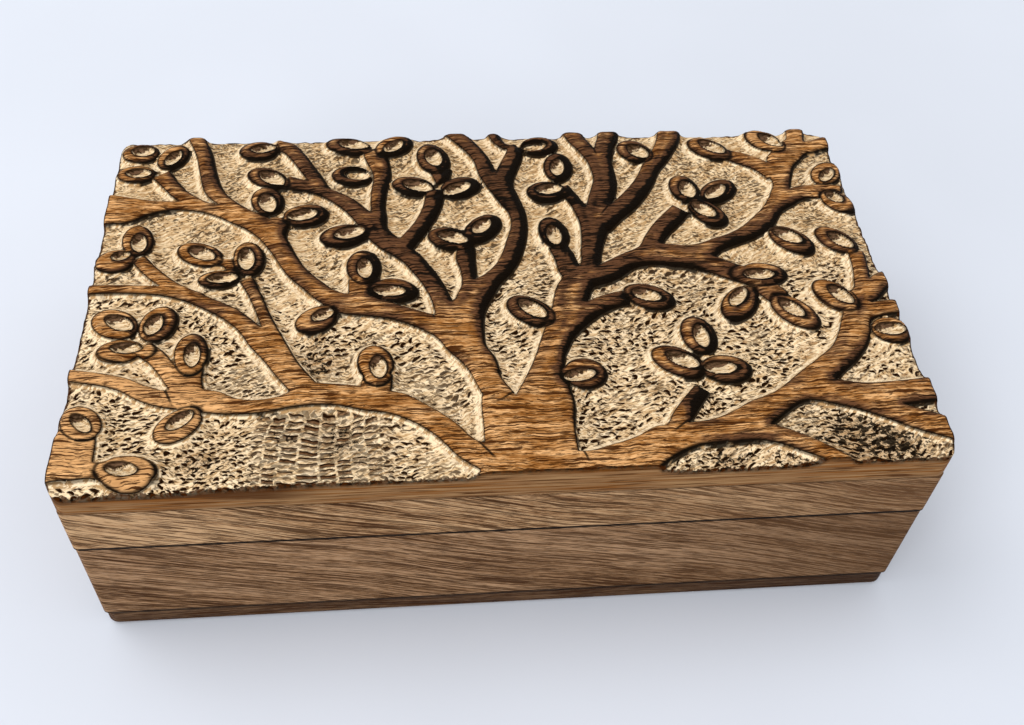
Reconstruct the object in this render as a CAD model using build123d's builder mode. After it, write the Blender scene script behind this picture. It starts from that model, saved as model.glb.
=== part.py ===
from build123d import *
from math import cos, pi, sin
import os

# Keepsake box: a plain mitred box with a lid that turns on two brass butt hinges. The lid's top board
# carries a tree in relief: limbs and ringed leaves left standing above a lowered ground.
# Millimetres. X runs left to right, Y front to back, Z up. The origin is under the middle of the box.

# ---- Boards and frames ----
board_length = 254.0        # carved top board, left to right
board_depth = 150.0         # carved top board, front to back
board_thickness = 12.6      # over the tree
board_overhang = 0.4        # top board past the lid walls, all round
board_edge_bevel = 0.8      # underside edge of the top board
lid_wall_height = 18.0
rim_gap = 0.3               # between the two rims when the lid is down
base_wall_height = 36.8
base_setback = 0.3          # base walls inside the lid walls, all round
wall_thickness = 10.0
corner_radius = 2.0         # upright corners of the walls
board_corner_radius = 4.0   # upright corners of the top board
bottom_thickness = 7.2
bottom_corner_radius = 4.0
bottom_edge_bevel = 1.2     # underside edge of the bottom board

# ---- Carving ----
carving_depth = 3.0         # ground below the top of the tree
pocket_depth = 1.8          # hollow in each leaf
leaf_cuts = 12              # chisel cuts round a leaf
pocket_cuts = 8
pattern_length = 254.0      # panel that the tree is drawn on, stretched to the top board
pattern_depth = 150.0

# ---- Hinges, let into the rims ----
hinge_spacing = 140.0       # between the middles of the two hinges
hinge_inset = 2.5           # axis in from the back face of the base
hinge_length = 25.0
knuckle_count = 3
knuckle_gap = 0.2
barrel_radius = 1.75
barrel_clearance = 0.35     # wood and far leaf round the barrel
leaf_thickness = 0.9
leaf_margin = 0.6           # rim left between a leaf and the inside of the wall
mortise_clearance = 0.1     # round a leaf
pin_radius = 0.9
pin_clearance = 0.05        # running fit in the knuckles
pin_overrun = 0.3           # past each end of the barrel
open_angle = 100.0          # the bevelled back edges meet and stop the lid
stop_angle_clearance = 1.0

# ---- Hinge screws ----
screw_spacing = 15.0
screw_length = 10.0
screw_shank_radius = 1.1
screw_head_radius = 1.8
screw_head_height = 0.5
screw_clearance = 0.05      # radial, in the leaf and in the wood
slot_width = 0.5
slot_depth = 0.4

# ---- Levels and places that follow from them ----
base_rim = bottom_thickness + base_wall_height
lid_rim = base_rim + rim_gap
board_underside = lid_rim + lid_wall_height
board_top = board_underside + board_thickness
ground_level = board_top - carving_depth

lid_length = board_length - 2 * board_overhang
lid_depth = board_depth - 2 * board_overhang
base_length = lid_length - 2 * base_setback
base_depth = lid_depth - 2 * base_setback

hinge_y = base_depth / 2 - hinge_inset
hinge_z = base_rim + rim_gap / 2
bevel_angle = (open_angle + stop_angle_clearance) / 2
knuckle_length = (hinge_length - (knuckle_count - 1) * knuckle_gap) / knuckle_count
knuckle_pitch = knuckle_length + knuckle_gap
notch_reach = barrel_radius + barrel_clearance
leaf_reach = wall_thickness - hinge_inset - leaf_margin
screw_y = hinge_y - (notch_reach + leaf_reach) / 2

hinges = {"left": -hinge_spacing / 2, "right": hinge_spacing / 2}
hang = (Align.CENTER, Align.CENTER, Align.MAX)     # a fastener hangs down from where it enters

sides = ["front", "right", "back", "left"]
mitre_corners = [(-1, -1), (1, -1), (1, 1), (-1, 1)]    # where each side starts, going round

# ---- The tree ----
# Each limb is a row of stations (x, y, width) along its middle line, from the thick end to the thin one.
limbs = {
    # trunk and its crown
    "trunk": [
        (4.3, -81, 35.2), (4.3, -69.1, 26.4), (4.4, -59.2, 26.1), (4.8, -50.5, 26.9), (4.9, -47.6, 26.4),
    ],
    "middle": [
        (-1.5, -51.3, 9.2), (-6, -41.4, 7.9), (-9.4, -31.5, 8.3), (-10.9, -21.5, 9.3),
        (-10.4, -11.6, 10.8), (-6, -3.6, 9.4), (-2.2, 0.4, 6.4), (2, 5.4, 5.9), (7.3, 18.3, 5.9),
        (9.1, 28.3, 5.1), (8.8, 32.3, 5.6), (6.7, 38.3, 6.9), (3.9, 48.3, 9.9),
    ],
    "middle_left": [
        (4.5, 42.3, 5.9), (1.1, 50.9, 6.4), (-2.2, 62.8, 5.5), (-5.5, 69, 6), (-11.4, 77.5, 6.5),
    ],
    "middle_right": [
        (4.4, 44.3, 7.9), (5.2, 49.3, 6.9), (7.4, 55.4, 6.4), (9.8, 61.4, 5.9), (11.6, 67.6, 4.9),
    ],
    "middle_twig": [(11.3, 66.9, 4), (7.9, 67.9, 3), (5.4, 70.9, 3.5), (3, 78, 4.2)],
    # the left limb, which runs to the left edge, and what grows from it
    "left": [
        (-6, -39.4, 7.9), (-8.9, -32.4, 9.8), (-13.3, -26, 10.4), (-17.8, -20.5, 8.9), (-25.6, -16, 7.1),
        (-33.5, -12.5, 6.8), (-41.4, -9.6, 8.9), (-49.2, -8.1, 8.4), (-53.7, -5.1, 6.9),
        (-57.6, -1.1, 6.4), (-63, 5.1, 6.4), (-70, 18.4, 6.9), (-73.4, 24.9, 8.4), (-77.9, 29.9, 8.9),
        (-83.8, 32.9, 7.5), (-89.7, 35.9, 6), (-96.6, 38.2, 5), (-110.5, 39.7, 4), (-131.2, 44.5, 3.6),
    ],
    "left_end": [(-103, 38.4, 3), (-112.5, 38.2, 6), (-119, 37, 11), (-130, 36.8, 13.5)],
    "left_back": [
        (-76.9, 30.4, 6), (-84.1, 35.9, 5.5), (-91.8, 44.2, 5.7), (-96.2, 57.4, 5.1), (-97.7, 64.5, 5.1),
        (-102.5, 78.6, 5.7),
    ],
    "left_outer": [
        (-90.7, 35.9, 5), (-99.6, 40.9, 5.2), (-104.1, 45.1, 5.4), (-108.1, 50.5, 5.5),
        (-111.5, 55.5, 6.4),
    ],
    "left_inner": [
        (-56.7, 46.4, 4.4), (-62.2, 57.4, 5.2), (-65.7, 64, 5.4), (-69.6, 69, 6), (-73.6, 70.5, 6),
    ],
    "left_arch": [
        (-69.1, 50.4, 6.5), (-59.2, 46.7, 5.3), (-49.3, 39.7, 5.8), (-41.9, 30.4, 7.4), (-39, 24.9, 8.1),
        (-35, 19.4, 7.9), (-27.1, 10.9, 6.4), (-23.9, 5.4, 6.2), (-20.7, -1.1, 6.1), (-18.6, -7.6, 5.9),
        (-16.3, -15.5, 7.9), (-12.9, -23.5, 7.9),
    ],
    "left_riser": [
        (-38, 26.4, 5.9), (-37.7, 31.9, 4.7), (-38, 36.4, 4.4), (-37.8, 42.4, 4.7), (-36.5, 53.4, 5.9),
        (-38.5, 63.9, 7.9), (-39.5, 67.5, 6.9),
    ],
    "left_fork": [
        (-30.1, 16.4, 5.9), (-23.3, 27.4, 5.4), (-20.7, 33.4, 5.4), (-19, 39.4, 5.9), (-18.4, 44.9, 5.9),
    ],
    "left_fork_tip": [(-16.3, 55.4, 7.9), (-15.8, 47.9, 3.9)],
    "left_twig": [
        (-10.9, -7.6, 5.9), (-9.4, -1.6, 4.5), (-9.3, 4.4, 4.7), (-9.9, 10.4, 5.9), (-9.4, 15.8, 5.4),
    ],
    "left_bud": [(-42.3, -9.6, 9.8), (-42.4, 2.4, 9.8)],
    "left_bloom_link": [(-71.2, 22.5, 6.5), (-70.2, 32, 6.5)],
    # the right limb and its crown
    "right": [
        (9.4, -51.3, 18.2), (11.2, -42.4, 12.7), (12.8, -34.4, 8.8), (15.6, -26.5, 8.8),
        (19.1, -18.6, 9.8), (25, -2.6, 10.3), (29.4, 2.8, 9.9),
    ],
    "right_twig": [(25, -2.6, 7.9), (23.5, 4.3, 7.4), (22.4, 10.3, 6.7), (20.9, 15.3, 6.4)],
    "right_riser": [
        (27.4, -1.6, 7.9), (30.4, 5.3, 6.4), (31.4, 11.3, 6.4), (32.9, 18.3, 7.4), (34.4, 25.3, 9.8),
        (36.9, 34.3, 7.9), (39.4, 41.3, 8.4), (41.2, 48.3, 7.9), (41, 55.3, 8.1), (40.4, 61.3, 8.9),
    ],
    "right_riser_left": [(38.9, 60.3, 5.9), (36.5, 66.4, 6.1), (34, 71.4, 6.7), (31.6, 79.4, 6.9)],
    "right_riser_right": [(42.4, 60.3, 5.9), (43.4, 66.4, 6.4), (45.2, 71.4, 6.9), (47, 79.4, 7.4)],
    "right_fork": [
        (36.4, 25.3, 7.9), (41.3, 30.3, 6.9), (46.7, 35.8, 7.1), (55.6, 48.3, 6.1), (58.4, 54.3, 5.9),
        (61.6, 59.3, 6.4), (65.1, 65.3, 6.9), (67.8, 71.4, 7.9), (69.7, 80.4, 8.4),
    ],
    "right_spur": [
        (33.4, 26.3, 7.9), (31.5, 31.3, 5.4), (29.8, 36.3, 4.7), (27.5, 41.3, 4.7), (26.1, 45.3, 4),
    ],
    "right_low": [
        (17.6, -23.5, 7.9), (22.5, -18.6, 6.9), (28.4, -13.6, 6.7), (34.3, -10.6, 6), (40.2, -9.1, 6),
    ],
    "right_arm": [
        (27.4, 0.4, 9), (35.3, 2.3, 7.9), (44.2, 8, 7.2), (51.1, 10.8, 10), (58.9, 9.8, 10.4),
        (66.8, 8.8, 10),
    ],
    "right_arm_back": [
        (64.8, 9.8, 9), (69.7, 11.3, 7.9), (74.7, 14.5, 5.5), (80.6, 17, 5.3), (86.5, 20.1, 6.2),
        (91.4, 23.8, 7.4), (98.9, 33.2, 6.4), (101.9, 38.2, 6.9), (103.9, 44.2, 6.1), (104.7, 50.3, 8.4),
        (106.4, 56.3, 9.9), (110.4, 61.3, 10.4), (114.4, 65.3, 9.9),
    ],
    "right_arm_tip": [(111.4, 62.3, 8.9), (114.9, 68.3, 6.9), (117.2, 78.3, 6.4)],
    "right_arm_side": [(114.3, 63.8, 7), (119.8, 65.1, 6.5), (131.1, 69.1, 6)],
    "right_arm_outer": [
        (98.4, 33.2, 6.9), (103.3, 36.5, 7), (108.3, 39.2, 6.5), (118.1, 40.2, 8), (124, 38.2, 9),
    ],
    "right_arm_inner": [(102.9, 49.3, 7.5), (98.5, 54.8, 7), (92.6, 58.8, 7), (86.7, 61.8, 7)],
    "right_arm_front": [
        (60.9, 8.8, 9), (71.7, 4.3, 8.5), (77.5, 0.8, 8), (83.4, -2.2, 8.9), (89.8, -11.6, 7.9),
    ],
    "right_arm_spray": [
        (51.1, 11.3, 7.9), (53.5, 17.3, 6.4), (57, 22.8, 6.4), (61.5, 27.8, 6.7), (65.4, 32.3, 6.4),
    ],
    "right_arm_bridge": [(66.4, 36.8, 4), (74.8, 36.8, 4)],
    # the right root and what grows from it
    "right_root": [
        (9.7, -74.1, 11.9), (19.4, -73.1, 8.9), (29.2, -72.1, 11.4), (37.1, -69.6, 11.8),
        (43.9, -65.7, 10.9), (50.8, -64.2, 8.4), (58.6, -63.2, 8.5), (66.5, -61.2, 10.4),
        (73.3, -56.8, 9.4), (79.2, -53.5, 7.4), (92, -45.4, 9.4), (97.9, -40.4, 8.4), (104.2, -35, 8.4),
        (107.8, -30.3, 9.1), (111.1, -23.6, 9.3), (115.8, -11.2, 7.4),
    ],
    "right_root_tip": [(114.8, -12.6, 7.9), (119.7, -9.7, 6.9), (124.6, -5.2, 6.4), (131.5, -1.1, 5.9)],
    "right_root_side": [(112.8, -19.6, 7.9), (118.7, -17.6, 6.4), (131.4, -15.4, 5.5)],
    "right_root_twig": [(116.7, -10.7, 5.9), (118.7, -4.7, 5.4), (120.1, 2.3, 5.4), (120.6, 9.3, 5.4)],
    "right_root_outer": [
        (86.1, -48.9, 8.9), (95.9, -49.9, 9.4), (105.7, -51.8, 8.9), (115.5, -51.8, 8.9),
        (131.1, -50.2, 8.9),
    ],
    "right_root_front": [
        (93.9, -51.3, 6.9), (102.7, -54.3, 6.9), (110.5, -57.8, 7.4), (118.3, -61.7, 8.4),
        (131, -67, 8.4),
    ],
    "right_root_edge": [
        (60.6, -63.7, 7.9), (70.4, -63.7, 7.4), (77.2, -66.2, 6.4), (84, -69.9, 6.1), (97.7, -78.5, 3),
    ],
    "right_root_sprig": [(45.9, -62.2, 5.9), (48.9, -57.8, 5.5), (52.6, -52.8, 5.1), (57, -47.4, 4.5)],
    # the left root and what grows from it
    "left_root": [
        (1.8, -73.1, 11.9), (-6, -71.1, 9.9), (-12.9, -66.6, 7.9), (-19.2, -59.2, 7.4),
        (-25.6, -53.6, 7.4), (-32.5, -49.3, 8.4), (-40.3, -47.1, 8.9), (-49.1, -45.1, 8.2),
        (-58, -44.3, 8.7), (-63.9, -46.5, 5.5), (-70.7, -48.2, 5), (-78.6, -48.1, 5.9),
        (-85.4, -46.1, 8.4), (-92.3, -44.3, 8.4),
    ],
    "left_root_side": [
        (-87.4, -45.5, 8.4), (-92.3, -44.8, 8.4), (-99.2, -44.3, 6.4), (-105.1, -42, 5.7),
        (-111, -38.6, 5.1), (-131.7, -33, 4.4),
    ],
    "left_root_tip": [
        (-89.4, -46.3, 7.9), (-93.3, -42.3, 6.9), (-96.8, -37.4, 5.9), (-103.2, -28.4, 5.9),
        (-107.6, -24.4, 6.4),
    ],
    "left_root_twig": [(-91.8, -43.3, 7.8), (-92.4, -37.4, 6.9), (-92.9, -32.4, 7.9)],
    "left_root_riser": [
        (-59.5, -42.3, 7.9), (-64.4, -35.4, 7.9), (-68.8, -28.4, 8.1), (-73.3, -23, 7.4),
        (-77.7, -17, 5.9), (-82.6, -12, 5.7), (-88.6, -7.8, 5.2), (-95, -4, 5), (-101.4, -1.5, 4.6),
        (-116.1, 0.3, 3.8), (-131.9, 0.5, 4.2),
    ],
    "left_root_fork": [
        (-61.4, -38.9, 5.9), (-69.1, -22.5, 5.1), (-71.8, -15.5, 4.1), (-76.6, -2.6, 3.9),
        (-79.3, 3.4, 4.4),
    ],
    "left_root_spur": [
        (-92.5, -4.7, 4.6), (-97.4, -2.1, 4.5), (-102.4, 1.4, 4.6), (-106.8, 5.4, 4.7),
        (-110.3, 9.4, 4.7), (-113.8, 13.9, 4.5),
    ],
    "left_root_bud": [(-39.2, -46.5, 9), (-38.6, -37.5, 9)],
    "left_spray_link": [(-89, 11.6, 3.5), (-84.9, 10.6, 4.6), (-82.6, 5.8, 4.4)],
    "corner_twig": [(-121, -51, 10), (-121.5, -59, 12), (-121.5, -66, 12.5), (-121, -71.3, 13)],
    "corner_link": [(-121, -68.3, 6.5), (-111, -69, 6)],
}

# Each leaf is (x, y, length, width, angle) of its oval, then the same five of the pocket hollowed in it.
leaves = [
    # left of the trunk, back to front
    (-119.7, 67, 12.4, 10.1, 0, -118.8, 67.6, 7.9, 5.5, 0),
    (-108.4, 64.6, 14, 9.4, 66, -108.1, 63.5, 8.5, 4.5, 63),
    (-119.8, 55.7, 12.8, 8.8, 0, -118.8, 55.7, 8.4, 4.5, 0),
    (-79.3, 67.5, 13.3, 10.1, 5, -77.7, 68.2, 8.9, 4.2, 8),
    (-75.4, 52.6, 14.9, 9.5, -28, -73.8, 52, 10.4, 5.5, -35),
    (-74.9, 40.6, 14, 10.5, 100, -74.6, 39, 9.5, 5.7, 108),
    (-61.9, 33, 14.8, 10.8, 10, -62.7, 32.6, 9.9, 5.3, 12),
    (-115, 22.3, 14.5, 9.7, 100, -114.2, 20.6, 8.5, 4.9, 100),
    (-120.8, 13, 12.8, 10, 15, -119, 14.8, 5.9, 4, 20),
    (-94.6, 15.2, 15.8, 9.9, -27, -93.9, 15.1, 9.9, 5, -32),
    (-79.1, 12.8, 15.5, 9.6, 97, -79.7, 12, 10, 5.2, 97),
    (-87.8, 3.7, 12.8, 7.6, 3, -86.6, 3.7, 9.8, 4.4, 5),
    (-116.9, -14.5, 15.3, 11.2, -32, -115.5, -14.5, 9.9, 5.2, -32),
    (-104.2, -14.9, 14.9, 10.6, 75, -105.2, -15.7, 8.4, 5.1, 75),
    (-113.9, -25.6, 13.8, 9.2, 2, -112, -24.8, 9.3, 4.2, -3),
    (-93.2, -27.4, 16.4, 9.8, 92, -92.6, -28.4, 9.4, 4.6, 95),
    (-94.1, -54.2, 15.2, 10.2, 42, -93.6, -52.8, 8.8, 4.6, 42),
    (-120.7, -52.2, 13.9, 10.3, -50, -120.5, -52.5, 8.4, 3.9, -48),
    (-106.2, -69.2, 17.2, 10.4, -5, -107.4, -68.7, 9.1, 4.5, -12),
    (-48, 69.3, 16.3, 9, -15, -46.1, 69.9, 10.9, 5.2, -12),
    (-32.1, 69, 14.4, 10, 35, -32.1, 68.2, 8.4, 5, 42),
    (-46.7, 53.1, 13.8, 10.2, -8, -44.7, 53.7, 9.6, 5, -8),
    (-25.8, 47, 14.8, 9.8, -18, -24.1, 46.5, 10.9, 5.2, -22),
    (-18.4, 61.4, 17.1, 10.9, 103, -18.1, 61.7, 9.5, 5.7, 105),
    (-9.6, 45.8, 14.3, 10.5, 24, -10.7, 44.7, 10.4, 5.2, 24),
    (-49.1, 22.6, 15.8, 10.5, 12, -47.1, 23.4, 10.3, 5.3, 15),
    (-42.7, 7.6, 15.5, 10.6, 92, -42.2, 6.4, 9, 4.9, 95),
    (-33, -3.1, 14.8, 10.2, -14, -34.5, -3.9, 10.3, 4.6, -8),
    (-14, 20, 15.8, 10.6, -20, -13.4, 20.2, 10.6, 5, -22),
    (-3.4, 24.5, 15.9, 9.9, 50, -3.6, 25.1, 8.4, 5, 48),
    (-57.1, -15, 13.8, 9.9, 40, -54.9, -13.4, 7.4, 4.2, 32),
    (-39.1, -33.4, 14.4, 10.6, 97, -38.1, -35.4, 8.4, 4.9, 97),
    # right of the trunk, back to front
    (20, 67.9, 13.1, 10, 5, 18, 67.7, 9.4, 4.6, 8),
    (25.4, 55.8, 15.5, 9.9, 83, 25.2, 55, 8.8, 4.9, 82),
    (20.1, 42.6, 13.8, 10.8, 2, 21, 43.5, 9.4, 5, 4),
    (54.2, 63.9, 13.9, 11.4, -51, 55.4, 63.3, 9.2, 5.8, -48),
    (20.2, 21.8, 15.5, 9.6, 98, 20.2, 20.1, 9.5, 4.9, 98),
    (68.6, 42.7, 15, 10.3, 98, 69.5, 41.9, 9.2, 5.7, 98),
    (80.3, 41.3, 15.4, 9.9, 38, 79.1, 40.3, 9.9, 5, 38),
    (74.4, 30, 15.4, 10.1, -49, 73.2, 31.3, 9.9, 5.3, -46),
    (81.8, 64.6, 16.8, 10.5, -34, 83.1, 65.3, 10.7, 5.2, -39),
    (103.1, 69.1, 14.9, 11, -43, 105.7, 68.6, 9.9, 5.2, -43),
    (121.8, 34.4, 13.9, 9.9, -51, 120.9, 36.4, 6.9, 4.5, -46),
    (121.7, 49.7, 14.5, 9.9, 48, 121.4, 48.1, 8, 4.4, 48),
    (100.2, 15.5, 16.8, 10.9, -45, 99.1, 17.2, 10.8, 5.3, -38),
    (86.7, 0.1, 15.7, 9.5, -4, 85.1, -0.8, 10.3, 4.6, -2),
    (76, -13.1, 17.4, 10.3, 52, 76, -10.7, 9.7, 4.6, 53),
    (93, -17.6, 17.7, 10.9, -50, 92.1, -16.3, 9.7, 4.7, -50),
    (107.9, -11.2, 17.3, 11.2, -53, 109.6, -11.1, 9.9, 4.9, -51),
    (115.5, 15, 15.8, 10.4, -46, 116.8, 14.3, 9.9, 5, -48),
    (121.9, -26.6, 13.2, 10.9, 0, 121.4, -26.5, 9.8, 5, -3),
    (22.7, -40, 13.2, 11.7, 5, 21.2, -41.1, 9.8, 4.6, 8),
    (9.1, -13.8, 16.8, 10.9, -40, 9.7, -13.3, 10.9, 5.1, -42),
    (47.4, -9, 16.7, 10.5, -22, 46.6, -8.8, 9.8, 4.8, -22),
    (60, -26.2, 15.9, 10.8, 95, 60.7, -27.1, 9.6, 4.7, 95),
    (51.9, -36.7, 17.7, 10.9, -33, 53.1, -36.3, 10.8, 5.1, -32),
    (65.8, -40.2, 15.2, 10.9, -3, 64, -40.1, 10.1, 4.8, -2),
]

def on_board(x, y):
    """The place on the top board of a point of the drawn pattern."""
    return Vector(x * board_length / pattern_length, y * board_depth / pattern_depth)


def limb_face(stations):
    """Flat face of one limb, as wide at each station as the station says."""
    spine = [on_board(x, y) for x, y, _ in stations]
    left, right = [], []
    for index, (_, _, width) in enumerate(stations):
        before = spine[max(index - 1, 0)]
        after = spine[min(index + 1, len(spine) - 1)]
        across = (after - before).rotate(Axis.Z, 90).normalized() * (width / 2)
        left.append(spine[index] + across)
        right.append(spine[index] - across)
    with BuildSketch() as limb:
        with BuildLine():
            Polyline(*left, *reversed(right), close=True)
        make_face()
    return limb.face()


def oval_face(length, width, cuts):
    """Oval with its long axis along X, outlined by straight chisel cuts."""
    turns = [2 * pi * index / cuts for index in range(cuts)]
    with BuildSketch() as oval:
        with BuildLine():
            Polyline(*[(length / 2 * cos(turn), width / 2 * sin(turn)) for turn in turns], close=True)
        make_face()
    return oval.face()


def back_groove():
    """Wedge that opens backwards from the hinge axis, drawn in the YZ plane: it bevels both back edges."""
    upper = Vector(board_depth / 2, 0).rotate(Axis.Z, bevel_angle)
    with BuildSketch(Plane.YZ) as wedge:
        with BuildLine():
            Polyline(
                (hinge_y, hinge_z),
                (hinge_y + upper.X, hinge_z + upper.Y),
                (hinge_y + upper.X, hinge_z - upper.Y),
                close=True,
            )
        make_face()
    return wedge.sketch


def screw_planes(middle, rim, outward):
    """Where the two screws of one leaf enter: on the rim, looking out of it."""
    return [
        Plane((middle + offset, screw_y, rim), z_dir=(0, 0, outward))
        for offset in (-screw_spacing / 2, screw_spacing / 2)
    ]


def frame_wall(side, length, depth, bottom, top, outward):
    """One mitred wall of a frame. outward is 1 where its rim looks up, and -1 where it looks down."""
    outer = [Vector(x * length / 2, y * depth / 2) for x, y in mitre_corners]
    inner = [
        corner - Vector(x * wall_thickness, y * wall_thickness)
        for corner, (x, y) in zip(outer, mitre_corners)
    ]
    first = sides.index(side)
    last = (first + 1) % len(sides)
    rim = top if outward > 0 else bottom
    with BuildPart() as wall:
        with BuildSketch(Plane.XY.offset(bottom)):
            with BuildLine():
                Polyline(outer[first], outer[last], inner[last], inner[first], close=True)
            make_face()
            RectangleRounded(length, depth, corner_radius, mode=Mode.INTERSECT)
        extrude(amount=top - bottom)
        if side != "front":
            extrude(back_groove(), amount=board_length / 2, both=True, mode=Mode.SUBTRACT)
        if side == "back":
            for middle in hinges.values():
                with Locations((middle, hinge_y, rim)):
                    Box(
                        hinge_length + 2 * mortise_clearance,
                        leaf_reach + mortise_clearance,
                        2 * leaf_thickness,
                        align=(Align.CENTER, Align.MAX, Align.CENTER),
                        mode=Mode.SUBTRACT,
                    )
                with Locations((middle, hinge_y, hinge_z)):
                    Cylinder(
                        notch_reach,
                        hinge_length + 2 * (pin_overrun + barrel_clearance),
                        rotation=(0, 90, 0),
                        mode=Mode.SUBTRACT,
                    )
                with Locations(*screw_planes(middle, rim, outward)):
                    Hole(screw_shank_radius + screw_clearance, screw_length + screw_clearance)
    return wall.part


def hinge_leaf(middle, rim, outward, knuckles):
    """Leaf let into a rim, with the knuckles that it carries, counted from the left."""
    starts = [middle - hinge_length / 2 + index * knuckle_pitch for index in range(knuckle_count)]
    others = [index for index in range(knuckle_count) if index not in knuckles]
    with BuildPart() as leaf:
        with BuildSketch(Plane.XY.offset(rim)):
            with Locations((middle, hinge_y)):
                Rectangle(hinge_length, leaf_reach, align=(Align.CENTER, Align.MAX))
            with Locations(*[(starts[index] - knuckle_gap, hinge_y) for index in others]):
                Rectangle(
                    knuckle_length + 2 * knuckle_gap,
                    notch_reach,
                    align=(Align.MIN, Align.MAX),
                    mode=Mode.SUBTRACT,
                )
        extrude(amount=-outward * leaf_thickness)
        for index in knuckles:
            with BuildSketch(Plane.YZ.offset(starts[index])):
                with Locations((hinge_y, hinge_z)):
                    Circle(barrel_radius)
            extrude(amount=knuckle_length)
        with Locations((middle, hinge_y, hinge_z)):
            Cylinder(pin_radius + pin_clearance, hinge_length, rotation=(0, 90, 0), mode=Mode.SUBTRACT)
        with Locations(*screw_planes(middle, rim, outward)):
            CounterBoreHole(
                screw_shank_radius + screw_clearance,
                screw_head_radius + screw_clearance,
                screw_head_height,
            )
    return leaf.part


def hinge_screws(middle, rim, outward):
    """The two slotted screws of one leaf, as separate solids with their heads flush in the leaf."""
    with BuildPart() as screws:
        with Locations(*screw_planes(middle, rim, outward)):
            Cylinder(screw_head_radius, screw_head_height, align=hang)
            Cylinder(screw_shank_radius, screw_length, align=hang)
            Box(2 * screw_head_radius, slot_width, slot_depth, align=hang, mode=Mode.SUBTRACT)
    return screws.part


os.makedirs("parts", exist_ok=True)

# ---- Bottom board ----
with BuildPart() as bottom_board:
    with BuildSketch():
        RectangleRounded(base_length, base_depth, bottom_corner_radius)
    extrude(amount=bottom_thickness)
    chamfer(bottom_board.faces().sort_by(Axis.Z)[0].edges(), bottom_edge_bevel)
bottom_board.part.label = "bottom_board"
export_step(bottom_board.part, "parts/bottom_board.step")

# ---- The two frames ----
for side in sides:
    base_wall = frame_wall(side, base_length, base_depth, bottom_thickness, base_rim, 1)
    base_wall.label = f"base_{side}_wall"
    export_step(base_wall, f"parts/base_{side}_wall.step")
    lid_wall = frame_wall(side, lid_length, lid_depth, lid_rim, board_underside, -1)
    lid_wall.label = f"lid_{side}_wall"
    export_step(lid_wall, f"parts/lid_{side}_wall.step")

# ---- Carved top board ----
with BuildPart() as carved_top_board:
    with BuildSketch(Plane.XY.offset(board_underside)):
        RectangleRounded(board_length, board_depth, board_corner_radius)
    extrude(amount=board_thickness - carving_depth)
    chamfer(carved_top_board.faces().sort_by(Axis.Z)[0].edges(), board_edge_bevel)
    with BuildSketch(Plane.XY.offset(ground_level)):
        add([limb_face(stations) for stations in limbs.values()])
        for x, y, length, width, angle, *_ in leaves:
            with Locations(on_board(x, y)):
                add(oval_face(length, width, leaf_cuts), rotation=angle)
        RectangleRounded(board_length, board_depth, board_corner_radius, mode=Mode.INTERSECT)
    extrude(amount=carving_depth)
    with BuildSketch(Plane.XY.offset(board_top)):
        for *_, x, y, length, width, angle in leaves:
            with Locations(on_board(x, y)):
                add(oval_face(length, width, pocket_cuts), rotation=angle)
    extrude(amount=-pocket_depth, mode=Mode.SUBTRACT)
carved_top_board.part.label = "carved_top_board"
export_step(carved_top_board.part, "parts/carved_top_board.step")

# ---- Hinges ----
for side, middle in hinges.items():
    base_leaf = hinge_leaf(middle, base_rim, 1, range(0, knuckle_count, 2))
    base_leaf.label = f"{side}_hinge_base_leaf"
    export_step(base_leaf, f"parts/{side}_hinge_base_leaf.step")
    lid_leaf = hinge_leaf(middle, lid_rim, -1, range(1, knuckle_count, 2))
    lid_leaf.label = f"{side}_hinge_lid_leaf"
    export_step(lid_leaf, f"parts/{side}_hinge_lid_leaf.step")
    with BuildPart() as pin:
        with Locations((middle, hinge_y, hinge_z)):
            Cylinder(pin_radius, hinge_length + 2 * pin_overrun, rotation=(0, 90, 0))
    pin.part.label = f"{side}_hinge_pin"
    export_step(pin.part, f"parts/{side}_hinge_pin.step")
    base_screws = hinge_screws(middle, base_rim, 1)
    base_screws.label = f"{side}_hinge_base_screws"
    export_step(base_screws, f"parts/{side}_hinge_base_screws.step")
    lid_screws = hinge_screws(middle, lid_rim, -1)
    lid_screws.label = f"{side}_hinge_lid_screws"
    export_step(lid_screws, f"parts/{side}_hinge_lid_screws.step")
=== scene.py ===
"""Looks of a carved keepsake box: a top board carved with a tree, plain walls, brass butt hinges, a pale studio.

Blender's units are metres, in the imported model's frame: X to the right, Y to the back, Z up. Sizes in the classes
below are millimetres, because the carving is laid out in them, except in the studio.
"""

import logging
import math
from collections import defaultdict
from dataclasses import dataclass, replace
from enum import Enum
from typing import TypeAlias

import bpy
import numpy as np
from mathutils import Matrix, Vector
from mathutils.kdtree import KDTree


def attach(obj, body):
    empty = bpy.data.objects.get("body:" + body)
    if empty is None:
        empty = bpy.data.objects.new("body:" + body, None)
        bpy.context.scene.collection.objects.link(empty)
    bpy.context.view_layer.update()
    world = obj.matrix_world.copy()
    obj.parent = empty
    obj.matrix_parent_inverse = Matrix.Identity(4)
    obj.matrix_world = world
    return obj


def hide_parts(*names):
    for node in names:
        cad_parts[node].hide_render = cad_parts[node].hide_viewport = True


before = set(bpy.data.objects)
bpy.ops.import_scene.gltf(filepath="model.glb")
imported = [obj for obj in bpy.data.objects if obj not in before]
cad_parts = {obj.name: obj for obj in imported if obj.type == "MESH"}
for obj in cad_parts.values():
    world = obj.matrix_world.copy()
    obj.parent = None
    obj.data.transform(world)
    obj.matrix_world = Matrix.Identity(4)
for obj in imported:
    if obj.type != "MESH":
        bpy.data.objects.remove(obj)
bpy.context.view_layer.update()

MM = 0.001
SHADED_WAY = np.array([0.83, -0.56])   # limbs' sides looking this way, right and front, get burn and painted shade
LEE_WAY = np.array([-0.5, 0.87])       # the end of a leaf's pocket with painted shade, at its back left
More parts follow.
